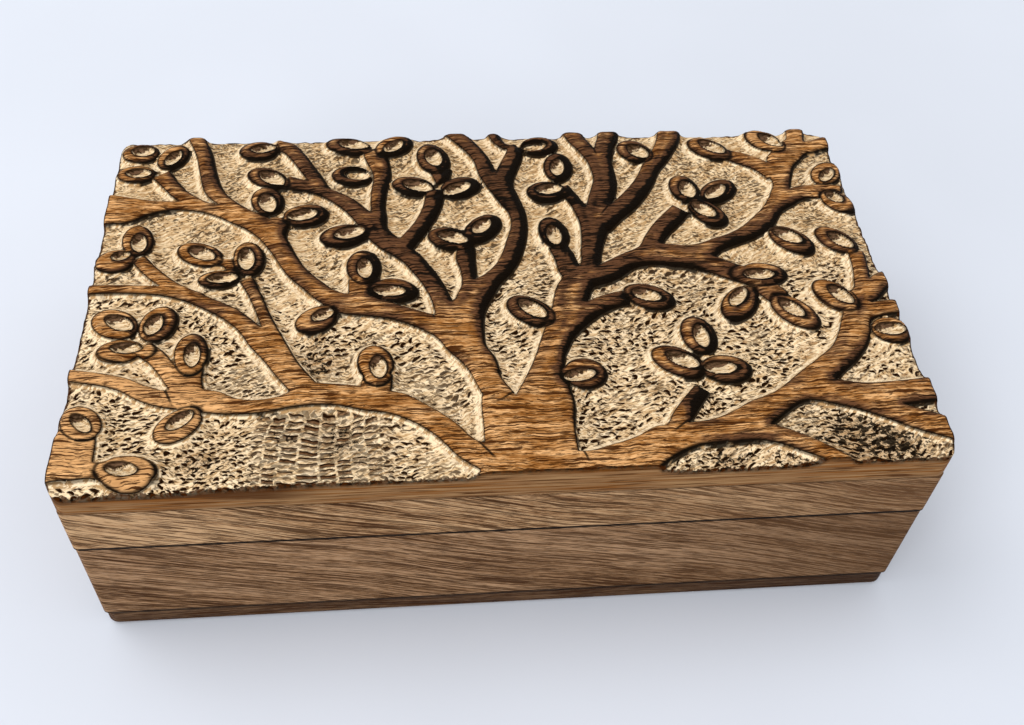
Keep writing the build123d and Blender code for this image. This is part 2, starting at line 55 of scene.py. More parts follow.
FAR = 9.0                              # beyond this distance a leaf has no say in the finish
log = logging.getLogger("keepsake_box")

Triple: TypeAlias = tuple[float, float, float]
Colour: TypeAlias = Triple
Value: TypeAlias = "Wire | float | Triple"


def paint(red: int, green: int, blue: int) -> Colour:
    """Linear colour of an sRGB one given as whole numbers up to 255."""
    shares = (part / 255 for part in (red, green, blue))
    return tuple(share / 12.92 if share <= 10 / 255 else ((share + 0.055) / 1.055) ** 2.4 for share in shares)


def halfway(first: Colour, second: Colour) -> Colour:
    """The colour halfway between two."""
    return tuple((a + b) / 2 for a, b in zip(first, second))


def to_left(way: np.ndarray) -> np.ndarray:
    """The direction a quarter turn to the left of another."""
    return np.array([-way[1], way[0]])


# ---- Shader maths ----


class Wire:
    """A node's output that can be added, multiplied and compared like a number."""

    def __init__(self, bench: "Bench", socket: bpy.types.NodeSocket) -> None:
        """Wraps one output socket of the bench's node tree."""
        self.bench = bench
        self.socket = socket

    def _math(self, operation: str, first: Value, second: Value = 0.0) -> "Wire":
        """Adds the Math node of one operation."""
        return self.bench.node("ShaderNodeMath", {"operation": operation}, {0: first, 1: second})

    def __add__(self, other: Value) -> "Wire":
        """self + other."""
        return self._math("ADD", self, other)

    def __radd__(self, other: Value) -> "Wire":
        """other + self."""
        return self._math("ADD", other, self)

    def __sub__(self, other: Value) -> "Wire":
        """self - other."""
        return self._math("SUBTRACT", self, other)

    def __rsub__(self, other: Value) -> "Wire":
        """other - self."""
        return self._math("SUBTRACT", other, self)

    def __mul__(self, other: Value) -> "Wire":
        """self * other."""
        return self._math("MULTIPLY", self, other)

    def __rmul__(self, other: Value) -> "Wire":
        """other * self."""
        return self._math("MULTIPLY", other, self)

    def __truediv__(self, other: Value) -> "Wire":
        """self / other."""
        return self._math("DIVIDE", self, other)

    def __rtruediv__(self, other: Value) -> "Wire":
        """other / self."""
        return self._math("DIVIDE", other, self)

    def most(self, other: Value) -> "Wire":
        """The larger of the two."""
        return self._math("MAXIMUM", self, other)

    def least(self, other: Value) -> "Wire":
        """The smaller of the two."""
        return self._math("MINIMUM", self, other)

    def size(self) -> "Wire":
        """The value without its sign."""
        return self._math("ABSOLUTE", self)

    def whole(self) -> "Wire":
        """The largest whole number not above the value."""
        return self._math("FLOOR", self)

    def towards(self, other: Value, share: Value) -> "Wire":
        """The value moved by a share of the way to another."""
        return self + (other - self) * share

    def beside(self, output: str) -> "Wire":
        """Another output of the same node."""
        return Wire(self.bench, self.socket.node.outputs[output])

    def step(self, low: Value, high: Value) -> "Wire":
        """0 below low, 1 above high and a smooth rise between, or the other way about where low is the larger.

        Args:
            low: value at which the result is 0.
            high: value at which the result is 1.

        Returns:
            The smooth step.
        """
        return self.bench.node(
            "ShaderNodeMapRange",
            {"interpolation_type": "SMOOTHSTEP"},
            {"Value": self, "From Min": low, "From Max": high, "To Min": 0.0, "To Max": 1.0},
        )


class Bench:
    """The node tree of a material or a world, with short calls for the nodes that the finishes share."""

    def __init__(self, owner: bpy.types.Material | bpy.types.World) -> None:
        """Clears the tree for new nodes.

        Args:
            owner: the material or world that the tree belongs to.
        """
        owner.use_nodes = True
        self.owner = owner
        self.tree = owner.node_tree
        self.tree.nodes.clear()

    @classmethod
    def for_material(cls, name: str) -> "Bench":
        """The bench of a new material."""
        return cls(bpy.data.materials.new(name))

    def node(
        self,
        kind: str,
        settings: dict[str, object] | None = None,
        values: dict[str | int, Value] | None = None,
        output: str | int = 0,
    ) -> Wire:
        """Adds one node: its settings first, then the values and links of its sockets.

        Args:
            kind: the node's type.
            settings: attributes of the node; "stops" is a colour ramp's list of (place, colour).
            values: numbers, colours or Wires by socket name or number.
            output: name or number of the output wanted.

        Returns:
            The chosen output.
        """
        node = self.tree.nodes.new(kind)
        for name, value in (settings or {}).items():
            if name == "stops":
                self._set_stops(node.color_ramp, value)
            else:
                setattr(node, name, value)
        for name, value in (values or {}).items():
            socket = node.inputs[name]
            if isinstance(value, Wire):
                self.tree.links.new(value.socket, socket)
            elif socket.type == "RGBA":
                socket.default_value = (*value, 1.0)
            else:
                socket.default_value = value
        return Wire(self, node.outputs[output])

    @staticmethod
    def _set_stops(ramp: bpy.types.ColorRamp, stops: list[tuple[float, Colour]]) -> None:
        """Gives a colour ramp its stops.

        Args:
            ramp: the ramp.
            stops: places and colours, in rising order.
        """
        while len(ramp.elements) < len(stops):
            ramp.elements.new(0.5)
        for element, (place, colour) in zip(ramp.elements, stops):
            element.position = place
            element.color = (*colour, 1.0)

    def vector(self, operation: str, values: dict[str | int, Value], output: str | int = 0) -> Wire:
        """Adds the Vector Math node of one operation."""
        return self.node("ShaderNodeVectorMath", {"operation": operation}, values, output)

    def place(self) -> Wire:
        """The point shaded, in millimetres of the piece's own space."""
        return self.vector("SCALE", {0: self.node("ShaderNodeTexCoord", output="Object"), "Scale": 1 / MM})

    def parts(self, where: Wire) -> tuple[Wire, Wire, Wire]:
        """The three numbers of a vector."""
        split = self.node("ShaderNodeSeparateXYZ", values={0: where})
        return tuple(Wire(self, socket) for socket in split.socket.node.outputs)

    def joined(self, x: Value, y: Value, z: Value) -> Wire:
        """A vector of three numbers."""
        return self.node("ShaderNodeCombineXYZ", values={0: x, 1: y, 2: z})

    def stretched(self, where: Wire, scale: Triple) -> Wire:
        """The vector multiplied by scale, one number for each axis."""
        return self.vector("MULTIPLY", {0: where, 1: scale})

    def turned(self, where: Wire, degrees: float) -> Wire:
        """The vector turned about Z."""
        values = {"Vector": where, "Angle": math.radians(degrees)}
        return self.node("ShaderNodeVectorRotate", {"rotation_type": "Z_AXIS"}, values)

    def streaks(self, here: Wire, scale: Triple, full: float, none: float) -> Wire:
        """Thin lines of grain: 1 where the noise is below full and 0 where it is above none."""
        return self.grain(here, scale, detail=2.0, rough=0.5).step(none, full)

    def grain(self, where: Wire, scale: Triple, detail: float = 3.0, rough: float = 0.55) -> Wire:
        """Noise of a point stretched by scale, so that it is drawn out as wood's fibres are."""
        return self.noise(self.stretched(where, scale), detail=detail, rough=rough)

    def noise(self, where: Wire, scale: float = 1.0, detail: float = 3.0, rough: float = 0.55) -> Wire:
        """Cloudy noise from 0 to 1, about 0.5 on average.

        Args:
            where: the point, already stretched.
            scale: how many clouds to a unit.
            detail: octaves of finer noise.
            rough: strength of the finer octaves.

        Returns:
            The noise value.
        """
        return self.node(
            "ShaderNodeTexNoise",
            {"noise_dimensions": "3D"},
            {"Vector": where, "Scale": scale, "Detail": detail, "Roughness": rough},
        )

    def swayed(self, where: Wire, scale: float, reach: float) -> Wire:
        """The point moved about by slow noise, so that what is drawn there wanders.

        Args:
            where: the point in millimetres.
            scale: how many waves to a millimetre.
            reach: the most that it moves, in millimetres.

        Returns:
            The moved point.
        """
        push = self.node(
            "ShaderNodeTexNoise",
            {"noise_dimensions": "3D"},
            {"Vector": where, "Scale": scale, "Detail": 1.0},
            output="Color",
        )
        centred = self.vector("SUBTRACT", {0: push, 1: (0.5, 0.5, 0.5)})
        scaled = self.vector("SCALE", {0: centred, "Scale": 2 * reach})
        return self.vector("ADD", {0: where, 1: scaled})

    def chance(self, settings: dict[str, object], values: dict[str | int, Value]) -> Wire:
        """A number from 0 to 1 that jumps from each whole place to the next."""
        return self.node("ShaderNodeTexWhiteNoise", settings, values, output="Value")

    def measure(self, name: str) -> Wire:
        """A number that the mesh carries at its points."""
        return self.node("ShaderNodeAttribute", {"attribute_name": name}, output="Fac")

    def mixed(self, share: Wire, first: Value, second: Value) -> Wire:
        """First colour where share is 0, second where it is 1."""
        settings = {"data_type": "RGBA", "blend_type": "MIX", "clamp_factor": True}
        return self.node("ShaderNodeMix", settings, {0: share, 6: first, 7: second}, output=2)

    def ramp(self, share: Wire, stops: list[tuple[float, Colour]]) -> Wire:
        """Colour of a ramp at share."""
        return self.node("ShaderNodeValToRGB", {"stops": stops}, {0: share})

    def bump(self, height: Wire, depth: float) -> Wire:
        """Normal of a height map, one unit of which stands for depth millimetres."""
        return self.node("ShaderNodeBump", values={"Strength": 1.0, "Distance": depth * MM, "Height": height})

    def finish(self, **sockets: Value) -> bpy.types.Material:
        """Ends the tree in a Principled shader.

        Args:
            sockets: socket names with underscores for spaces, and their numbers, colours or Wires.

        Returns:
            The material.
        """
        values = {name.replace("_", " "): value for name, value in sockets.items()}
        self.surface("ShaderNodeOutputMaterial", self.node("ShaderNodeBsdfPrincipled", values=values))
        return self.owner

    def surface(self, kind: str, shader: Wire) -> None:
        """Links a shader to a new output node."""
        end = self.tree.nodes.new(kind)
        self.tree.links.new(shader.socket, end.inputs["Surface"])


# ---- Finishes ----


class Run(Enum):
    """Axis that a board's grain follows."""

    ALONG_X = "x"
    ALONG_Y = "y"


@dataclass(frozen=True)
class WallWood:
    """Open-grained brown hardwood with a satin wax, sawn so that its lines slant across the wall."""

    name: str
    run: Run = Run.ALONG_X
    slant: float = 17.0          # degrees that the lines fall to the right
    pale: Colour = paint(192, 155, 115)
    middle: Colour = paint(149, 112, 76)
    dark: Colour = paint(98, 66, 39)
    pore: Colour = paint(54, 27, 4)
    sooty: Colour = paint(20, 10, 4)
    roughness: float = 0.5
    sheen: float = 0.06
    figure: Triple = (0.006, 0.13, 0.05)      # waves to a millimetre along the grain and across it
    fibre: Triple = (0.25, 2.4, 1.0)
    line: Triple = (0.03, 1.0, 0.4)
    pores: Triple = (0.035, 1.5, 0.4)
    small_pores: Triple = (0.1, 3.0, 0.8)
    sway: float = 0.011          # waves to a millimetre, and how far they bend the lines
    sway_reach: float = 7.0
    shift: float = 0.0           # moves the figure, so that no two boards match
    darkening: tuple[float, float] = (-10.0, 130.0)    # the wall grows darker from here to there along X
    darkest: float = 0.6
    arrises: tuple[tuple[float, float], ...] = ()      # heights of the edges worn dark, and how dark
    arris_width: tuple[float, float] = (0.8, 0.4)      # where the wear ends, and where it is full

    def material(self) -> bpy.types.Material:
        """Builds the wood.

        Returns:
            The material.
        """
        bench = Bench.for_material(self.name)
        where = bench.place()
        x, _, z = bench.parts(where)
        lying = bench.parts(bench.node("ShaderNodeTexCoord", output="Normal"))[2].size().step(0.4, 0.7)
        here = self._along_grain(bench, where, lying)
        bands = bench.grain(here, self.figure, detail=2.0)
        fine = bench.grain(here, self.fibre, detail=3.0, rough=0.7)
        lines = bench.grain(here, self.line, detail=2.0)
        pores = bench.streaks(here, self.pores, 0.42, 0.455) * (1.1 - bands * 0.4)
        pores = pores.most(bench.streaks(here, self.small_pores, 0.4, 0.435) * 0.85)
        tone = bands * 0.32 + fine * 0.38 + lines * 0.3
        wood = bench.ramp(tone, [(0.4, self.dark), (0.47, self.middle), (0.57, self.pale)])
        wood = bench.mixed(pores * 0.92, wood, self.pore)
        wood = bench.mixed(x.step(*self.darkening) * self.darkest, wood, self.dark)
        wander = (bench.noise(where, 0.25, detail=3.0) - 0.5) * 0.5
        for height, strength in self.arrises:
            worn = (z - height + wander * 0.3).size().step(*self.arris_width) * (1 - lying)
            wood = bench.mixed(worn * (strength + wander), wood, self.sooty)
        return bench.finish(
            Base_Color=wood,
            Roughness=self.roughness + (0.5 - fine) * 0.3 + pores * 0.2,
            Specular_IOR_Level=self.sheen,
            Normal=bench.bump(fine * 0.4 - pores * 0.6, 0.2),
        )

    def _along_grain(self, bench: Bench, where: Wire, lying: Wire) -> Wire:
        """The point with the grain along its first number.

        Args:
            bench: the tree of nodes to draw in.
            where: the point in the board.
            lying: 1 on faces that lie flat, such as the rims, where the lines run straight.

        Returns:
            The point along the slanting lines, across them and through the board, swayed a little.
        """
        x, y, z = bench.parts(where)
        length, width = (x, y) if self.run is Run.ALONG_X else (y, x)
        fall = math.radians(self.slant)
        along = length * math.cos(fall) - z * math.sin(fall)
        across = length * math.sin(fall) + z * math.cos(fall)
        across = across.towards(width, lying)
        return bench.swayed(bench.joined(along + self.shift, across, width * (1 - lying)), self.sway, self.sway_reach)


@dataclass(frozen=True)
class Scorched:
    """The carved board: a pale tooled ground, a tree stained golden brown, its edges burnt dark, and painted shade.
    """

    name: str = "carved_wood"
    raw: Colour = paint(244, 220, 183)
    cream: Colour = paint(222, 193, 151)
    tan: Colour = paint(178, 142, 98)
    fawn: Colour = paint(146, 106, 66)
    umber: Colour = paint(30, 12, 0)
    gold: Colour = paint(226, 174, 118)
    honey: Colour = paint(162, 111, 60)
    amber: Colour = paint(122, 73, 26)
    rust: Colour = paint(60, 26, 0)
    brown: Colour = paint(92, 60, 38)
    char: Colour = paint(17, 10, 4)
    side: Colour = paint(130, 95, 62)
    roughness: float = 0.6
    polish: float = 0.12                                # how much smoother the tree is than the ground
    sheen: float = 0.02
    relief: float = 0.75                                # millimetres of the finest marks
    line: Triple = (0.05, 0.8, 0.3)                     # the tree's grain: waves to a millimetre along X, Y and Z
    fibre: Triple = (0.3, 2.2, 0.6)
    crack: Triple = (0.09, 1.7, 0.3)
    small_crack: Triple = (0.3, 3.3, 0.6)
    pocket_fibre: Triple = (0.4, 2.0, 1.0)
    scrape: Triple = (0.2, 1.3, 0.5)                    # and the ground's
    crumb: Triple = (0.5, 1.9, 1.0)
    shaved_lit_fibre: Triple = (1.2, 1.2, 1.0)
    side_line: Triple = (0.025, 0.4, 1.3)               # and that of the board's sides
    side_crack: Triple = (0.05, 0.6, 1.9)
    nicks: Triple = (0.31, 0.47, 1.0)                   # gouge marks to a millimetre
    level_nicks: Triple = (0.39, 0.54, 1.0)
    small_nicks: Triple = (0.7, 1.0, 1.0)
    slope: float = -26.0                                # degrees that the first kind slants
    small_slope: float = 14.0
    bar_length: float = 4.6                             # a bar in the rows of square cuts
    bar_height: float = 2.1
    square_left: tuple[float, float] = (-76.0, -68.0)   # each edge of the square cuts, from outside to inside
    square_right: tuple[float, float] = (-30.0, -42.0)
    square_back: tuple[float, float] = (-40.0, -50.0)
    level_right: tuple[float, float] = (-10.0, -40.0)   # the same for the level cuts of the front left
    level_back: tuple[float, float] = (-30.0, -45.0)
    calm_front: tuple[float, float] = (-12.0, 25.0)     # and for the quieter back

    def material(self) -> bpy.types.Material:
        """Builds the finish from the measures that the carved mesh carries.

        Returns:
            The material.
        """
        bench = Bench.for_material(self.name)
        where = bench.place()
        inset, border, edge_side = bench.measure("inset"), bench.measure("border"), bench.measure("board_side")
        raised, top_height = self._tree(bench, where, inset)
        ground, ground_height = self._ground(bench, where, inset)
        on_tree = inset.step(-0.1, 0.1)
        colour = bench.mixed(on_tree, ground, raised)
        height = ground_height * (1 - on_tree) + top_height * on_tree
        frayed = bench.noise(where, 0.8, detail=3.0)
        crevice = (border - (frayed - 0.4) * (2.0 - on_tree * 1.7)).step(0.7 - on_tree * 0.2, 0.3 - on_tree * 0.1)
        colour = bench.mixed(crevice * 0.92, colour, bench.mixed(frayed.step(0.4, 0.6), self.char, self.rust))
        colour = bench.mixed(edge_side, colour, self._board_side(bench, where))
        return bench.finish(
            Base_Color=colour,
            Roughness=self.roughness - on_tree * self.polish,
            Specular_IOR_Level=self.sheen,
            Normal=bench.bump(height * (1 - edge_side), self.relief),
        )

    def _tree(self, bench: Bench, where: Wire, inset: Wire) -> tuple[Wire, Wire]:
        """Colour and height of the limbs and leaves.

        Args:
            bench: the tree of nodes to draw in.
            where: the point.
            inset: millimetres inside the carved outline.

        Returns:
            The colour and the height.
        """
        rim, ring, scorch = bench.measure("rim"), bench.measure("ring"), bench.measure("scorch")
        facing = bench.measure("facing")
        here = bench.swayed(bench.swayed(where, 0.04, 2.2), 0.3, 0.5)
        lines = bench.grain(here, self.line, detail=4.0, rough=0.6)
        fine = bench.grain(here, self.fibre, detail=3.0, rough=0.65)
        blotch = bench.noise(where, 0.09, detail=3.0)
        # Stained wood, paler where it was never burnt.
        tone = lines * 0.5 + fine * 0.5 + (blotch - 0.5) * 0.35
        wood = bench.ramp(tone, [(0.38, self.amber), (0.49, self.honey), (0.62, self.gold)])
        wood = bench.mixed(scorch.step(0.0, -0.4) * 0.5, wood, self.gold)
        # Scorching, strongest in the middle, along the edges and on the leaves' rings, and painted shade on right and
        # front edges.
        edge = inset.least(ring.size()).least(rim.size())
        on_leaf = ring.step(0.3, -0.3)
        burnt_and_shaded = scorch * 1.1 - edge.most(0.0) * (0.14 + on_leaf * 0.3) + (blotch - 0.5) * 0.9
        # Painted shade: darker near the edges that look right and front, where the scorch is strong.
        burnt_and_shaded = burnt_and_shaded + (0.5 - lines) * 1.1 + facing * edge.step(3.0, 0.6) * 0.42 * scorch.step(0.12, 0.55)
        toned = bench.mixed(burnt_and_shaded.step(-0.15, 0.4), wood, self.brown)
        toned = bench.mixed(burnt_and_shaded.step(0.55, 0.85), toned, self.char)
        # Open grain, the burnt and painted-shade outline, the knife cuts that run past a fork, and the leaves'
        # pockets.
        cracks = bench.streaks(here, self.crack, 0.4, 0.44)
        cracks = cracks.most(bench.streaks(here, self.small_crack, 0.39, 0.43) * 0.85)
        toned = bench.mixed(cracks * 0.95, toned, bench.mixed(burnt_and_shaded.step(-0.1, 0.5), self.rust, self.char))
        # Painted shade: the dark outline is wider on the sides that look right and front.
        shaded = facing.step(-0.6, 0.5).most(on_leaf * 0.4)
        outline = edge.step(0.5 + shaded * (0.45 + scorch.most(0.0) * 0.5), 0.1) * (0.85 + shaded * 0.15)
        toned = bench.mixed(outline, toned, self.char)
        cut = bench.measure("cut").size().step(0.5, 0.12) * bench.measure("cut_depth")
        toned = bench.mixed(cut * 0.9, toned, self.char)
        in_pocket = rim.step(0.08, -0.08)
        toned = bench.mixed(in_pocket, toned, self._pocket(bench, where, rim))
        height = (lines * 0.15 + fine * 0.2) * (1 - in_pocket) - cracks * 0.35 - cut * 0.5
        return toned, height

    def _pocket(self, bench: Bench, where: Wire, rim: Wire) -> Wire:
        """Colour of the hollow in a leaf: raw cream, with painted shade on the cheek at its back left.

        Args:
            bench: the tree of nodes to draw in.
            where: the point.
            rim: millimetres outside the hollow's rim.

        Returns:
            The colour.
        """
        ragged = (bench.noise(where, 0.9, detail=3.0) - 0.5) * 1.2
        lee = bench.measure("lee") + ragged
        grain = bench.grain(where, self.pocket_fibre, detail=3.0)
        light = bench.ramp(grain, [(0.38, self.tan), (0.47, self.cream), (0.6, self.raw)])
        # Painted shade on the pocket's inner wall at its back left, which looks away from the light.
        cheek = lee.step(0.35, 0.55) * (rim + ragged).step(-2.3, -1.5)
        light = bench.mixed(cheek * 0.94, light, bench.mixed(grain.step(0.4, 0.6), self.umber, self.brown))
        return bench.mixed(rim.step(-0.45, -0.1) * 0.7, light, self.umber)

    def _ground(self, bench: Bench, where: Wire, inset: Wire) -> tuple[Wire, Wire]:
        """Colour and height of the lowered ground, with its gouge nicks and the wall up to the tree.

        Args:
            bench: the tree of nodes to draw in.
            where: the point.
            inset: millimetres inside the carved outline.

        Returns:
            The colour and the height.
        """
        scorch, soot, facing = bench.measure("scorch"), bench.measure("soot"), bench.measure("facing")
        here = bench.swayed(bench.swayed(where, 0.04, 5.0), 0.4, 0.6)
        slanting = bench.turned(here, self.slope)
        patchy = bench.noise(where, 0.075, detail=2.5)
        ragged = bench.noise(where, 1.1, detail=3.0, rough=0.62)
        # The field of square cuts, the quieter back of the board, and the level cuts of the front left.
        x, y, _ = bench.parts(here)
        orderly = x.step(*self.square_left) * x.step(*self.square_right) * y.step(*self.square_back)
        calm = y.step(*self.calm_front)
        along_front = x.step(*self.level_right) * y.step(*self.level_back)
        # The gouge's marks: dark lines, the shade in their dishes, and how far each point is from a dish's middle.
        # The dark lines are partly painted shadow at the back of each dish, and the dishes' shade is painted shade.
        often = (patchy - 0.5) * 4.2 + (ragged - 0.5) * 1.2 + soot * 0.8 + 0.5 + along_front * 0.3 - calm * 0.74
        crowded = often - 0.1 + calm * 0.6
        wild, dish, reach = self._wild_gouges(bench, slanting, self.nicks, often)
        level, level_dish, level_reach = self._wild_gouges(bench, here, self.level_nicks, often)
        crossing = bench.turned(here, self.small_slope)
        small, small_dish, _ = self._wild_gouges(bench, crossing, self.small_nicks, crowded)
        bars, tray = self._gouge_rows(bench, x / self.bar_length, y / self.bar_height)
        either = bench.noise(where, 0.05, detail=1.0).step(0.52, 0.45).most(along_front)
        marks = wild.towards(level, either).most(small * (0.55 + calm * 0.3))
        marks = marks.towards(bars.most(marks * 0.7), orderly)
        reach = reach.towards(level_reach, either)
        shade = dish.towards(level_dish, either).most(small_dish * 0.7) * (0.75 - calm * 0.4)
        shade = shade.towards(tray, orderly)
        # The wood between them: the dishes' painted shade, smoky patches, torn crumbs, a painted highlight by the lit
        # sides.
        scraped = bench.grain(slanting, self.scrape, detail=4.0, rough=0.65)
        base = bench.ramp(scraped - calm * 0.06, [(0.36, self.tan), (0.48, self.cream), (0.6, self.raw)])
        smoky = ((patchy - 0.5) * 2.0 + soot * 0.9).step(0.0, 1.0)
        # Painted shade of the dishes and the square cuts' trays, and the smoky patches, darken the wood here.
        base = bench.mixed(shade.most(smoky * 0.5), base, bench.mixed(orderly * 0.8, self.fawn, self.brown))
        crumbs = bench.streaks(slanting, self.crumb, 0.33, 0.37) * 0.8
        marks = marks.most(crumbs * (ragged + 0.3)) * (1 - calm * 0.2)
        # Painted highlight over pale shaved wood, beside the limbs' sides that look left and back, towards the light.
        shaved_lit_strip = inset.step(-2.4, -1.5) * facing.step(0.15, -0.25)
        fibres = bench.grain(where, self.shaved_lit_fibre, detail=3.0, rough=0.7)
        base = bench.mixed(shaved_lit_strip * fibres.step(0.35, 0.55) * 0.8, base, self.raw)
        marks = marks * (1 - shaved_lit_strip * 0.75)
        colour = bench.mixed(marks, base, self.umber)
        curls = bench.noise(here, 0.5, detail=2.0)      # burnt hollows
        blackened = (soot * 0.65 + (curls - 0.5) * 3.4 + (ragged - 0.5) * 2.0).step(0.58, 0.82) * soot.step(0.05, 0.4)
        colour = bench.mixed(blackened * 0.94, colour, self.char)
        # The cut wall up to the tree: burnt and painted shade on its right and front side, else pale; a dark lip on
        # top.
        wall = inset.step(-0.95, -0.6)
        streak = bench.noise(where, 0.35, detail=2.0)
        # Painted shade with the burn on the wall's side that looks right and front.
        dark_wall = (facing * 0.75 + scorch * 0.75 + (streak - 0.5) * 1.1).step(0.42, 0.72)
        pale_wall = bench.mixed((streak + (scraped - 0.5) * 2.0).step(0.4, 0.6), self.tan, self.raw)
        colour = bench.mixed(wall, colour, bench.mixed(dark_wall * 0.97, pale_wall, self.char))
        # The lip is burnt dark, with more painted shade on the side that looks right and front.
        lip = inset.step(-0.42, -0.15)
        colour = bench.mixed(lip * (0.65 + facing * 0.3 + scorch * 0.3), colour, self.char)
        marks = marks * (1 - wall)
        return colour, scraped * 0.35 + ragged * 0.15 + reach.least(0.6) * 0.7 * (1 - wall) - marks * 0.4

    @staticmethod
    def _wild_gouges(bench: Bench, where: Wire, scale: Triple, often: Wire) -> tuple[Wire, Wire, Wire]:
        """Scattered gouge marks.

        Args:
            bench: the tree of nodes to draw in.
            where: the point.
            scale: marks to a millimetre along each axis.
            often: more of it makes more of the marks dark.

        Returns:
            The dark line at each mark's back, partly painted shadow, the shade in its dish, and the distance from its
            middle.
        """
        spot = bench.stretched(where, scale)
        settings = {"voronoi_dimensions": "2D", "feature": "F1"}
        values = {"Vector": spot, "Scale": 1.0, "Randomness": 0.9}
        reach = bench.node("ShaderNodeTexVoronoi", settings, values, output="Distance")
        x, y, _ = bench.parts(spot)
        middle_x, middle_y, _ = bench.parts(reach.beside("Position"))
        tilt, pick, fill = bench.parts(reach.beside("Color"))
        up = y - middle_y + (x - middle_x) * (tilt - 0.5) * 2.2
        # The arc is the dark line at the back of a dish, partly painted shadow.
        arc = (reach - 0.28).size().step(0.18, 0.11) * up.step(-0.04, 0.08)
        blot = reach.step(0.36, 0.27) * up.step(-0.1, 0.02) * (fill + often * 0.3).step(0.5, 0.62)
        dark = arc.most(blot) * (pick + often).step(0.4, 0.52)
        # Painted shade in the back half of each dish.
        dish = reach.step(0.46, 0.3) * up.step(-0.25, 0.3)
        return dark, dish, reach

    @staticmethod
    def _gouge_rows(bench: Bench, x: Wire, y: Wire) -> tuple[Wire, Wire]:
        """Bars stacked in columns, each column set off from the next.

        Args:
            bench: the tree of nodes to draw in.
            x: place along the rows, in columns.
            y: place up the columns, in bars.

        Returns:
            The dark lines round the bars, the back one partly painted shadow, and the shade in them.
        """
        column = x.whole()
        level = y + bench.chance({"noise_dimensions": "1D"}, {"W": column})
        row = level.whole()
        own = bench.chance({"noise_dimensions": "2D"}, {"Vector": bench.joined(column, row, 0.0)})
        beside, above = (x - column - 0.5).size(), level - row - 0.5
        width = beside.step(0.47, 0.37)
        # The line at a bar's back edge is partly painted shadow.
        back = (above - 0.24).size().step(0.16, 0.06) * own.step(0.1, 0.35)
        front = (above + 0.26).size().step(0.12, 0.03) * own.step(0.45, 0.7) * 0.8
        line = back.most(front) * width
        tray = above.step(-0.36, -0.1) * above.step(0.44, 0.3) * width * (0.25 + own * 0.8)
        return line, tray

    def _board_side(self, bench: Bench, where: Wire) -> Wire:
        """Colour of the board's sawn edge and underside, streaked along X and torn dark under the worn corner.

        Args:
            bench: the tree of nodes to draw in.
            where: the point.

        Returns:
            The colour.
        """
        lines = bench.grain(where, self.side_line, detail=4.0, rough=0.66)
        cracks = bench.streaks(where, self.side_crack, 0.38, 0.45)
        wood = bench.ramp(lines, [(0.38, self.amber), (0.5, self.side), (0.62, halfway(self.side, self.tan))])
        x, _, z = bench.parts(where)
        torn = (z - x.step(-50.0, -127.0) * 1.5 + (lines - 0.5) * 10.0).step(66.0, 67.2) * x.step(-48.0, -70.0)
        return bench.mixed((cracks * 0.8).most(torn * 0.8), wood, self.rust)


@dataclass(frozen=True)
class Metal:
    """Plain drawn or rolled metal, a little dulled."""

    name: str
    colour: Colour
    dull: Colour
    roughness: float

    def material(self) -> bpy.types.Material:
        """Builds the metal.

        Returns:
            The material.
        """
        bench = Bench.for_material(self.name)
        where = bench.place()
        brushed = bench.grain(where, (0.3, 9.0, 9.0), detail=3.0, rough=0.7)
        stain = bench.noise(where, 0.35, detail=4.0).step(0.45, 0.75)
        return bench.finish(
            Base_Color=bench.mixed(stain * 0.6, self.colour, self.dull),
            Metallic=1.0,
            Roughness=self.roughness + (brushed - 0.5) * 0.25 + stain * 0.15,
            Normal=bench.bump(brushed, 0.02),
        )


@dataclass(frozen=True)
class Linen:
    """The pale cloth-white floor."""

    name: str = "pale_floor"
    colour: Colour = paint(206, 211, 221)
    warmth: float = 1.03         # how much lighter its palest clouds are
    whole: float = 800.0         # millimetres from the box out to which the floor is solid
    gone: float = 2300.0         # and where it has faded into the backdrop

    def material(self) -> bpy.types.Material:
        """Builds the floor's finish.

        Returns:
            The material.
        """
        bench = Bench.for_material(self.name)
        where = bench.place()
        soft = bench.noise(where, 0.006, detail=2.0)
        warm = tuple(min(1.0, c * self.warmth) for c in self.colour)
        away = bench.vector("LENGTH", {0: where}, output="Value")
        return bench.finish(
            Base_Color=bench.mixed(soft.step(0.35, 0.65), self.colour, warm),
            Alpha=away.step(self.gone, self.whole),
            Roughness=0.9,
            Specular_IOR_Level=0.1,
        )


# ---- Reading the carving ----


@dataclass(frozen=True)
class Ripple:
    """Smooth unevenness: its height, the width of one wave in millimetres, and which pattern."""

    height: float
    wave: float
    seed: int
    cells: int = 256              # the pattern repeats after as many waves
    start: tuple[float, float] = (97.3, 61.7)      # where in it the board's middle lies

    def at(self, x: np.ndarray, y: np.ndarray) -> np.ndarray:
        """Draws the pattern's values and blends between them.

        Args:
            x: places in millimetres.
            y: places in millimetres.

        Returns:
            A value from -height to height for each place.
        """
        values = np.random.default_rng(self.seed).uniform(-1, 1, (self.cells, self.cells))
        u, v = x / self.wave + self.start[0], y / self.wave + self.start[1]
        i, j = np.floor(u).astype(int), np.floor(v).astype(int)
        s, t = u - i, v - j
        s, t = s * s * (3 - 2 * s), t * t * (3 - 2 * t)
        i, j, next_i, next_j = i % self.cells, j % self.cells, (i + 1) % self.cells, (j + 1) % self.cells
        near = values[i, j] * (1 - s) + values[next_i, j] * s
        far = values[i, next_j] * (1 - s) + values[next_i, next_j] * s
        return self.height * (near * (1 - t) + far * t)


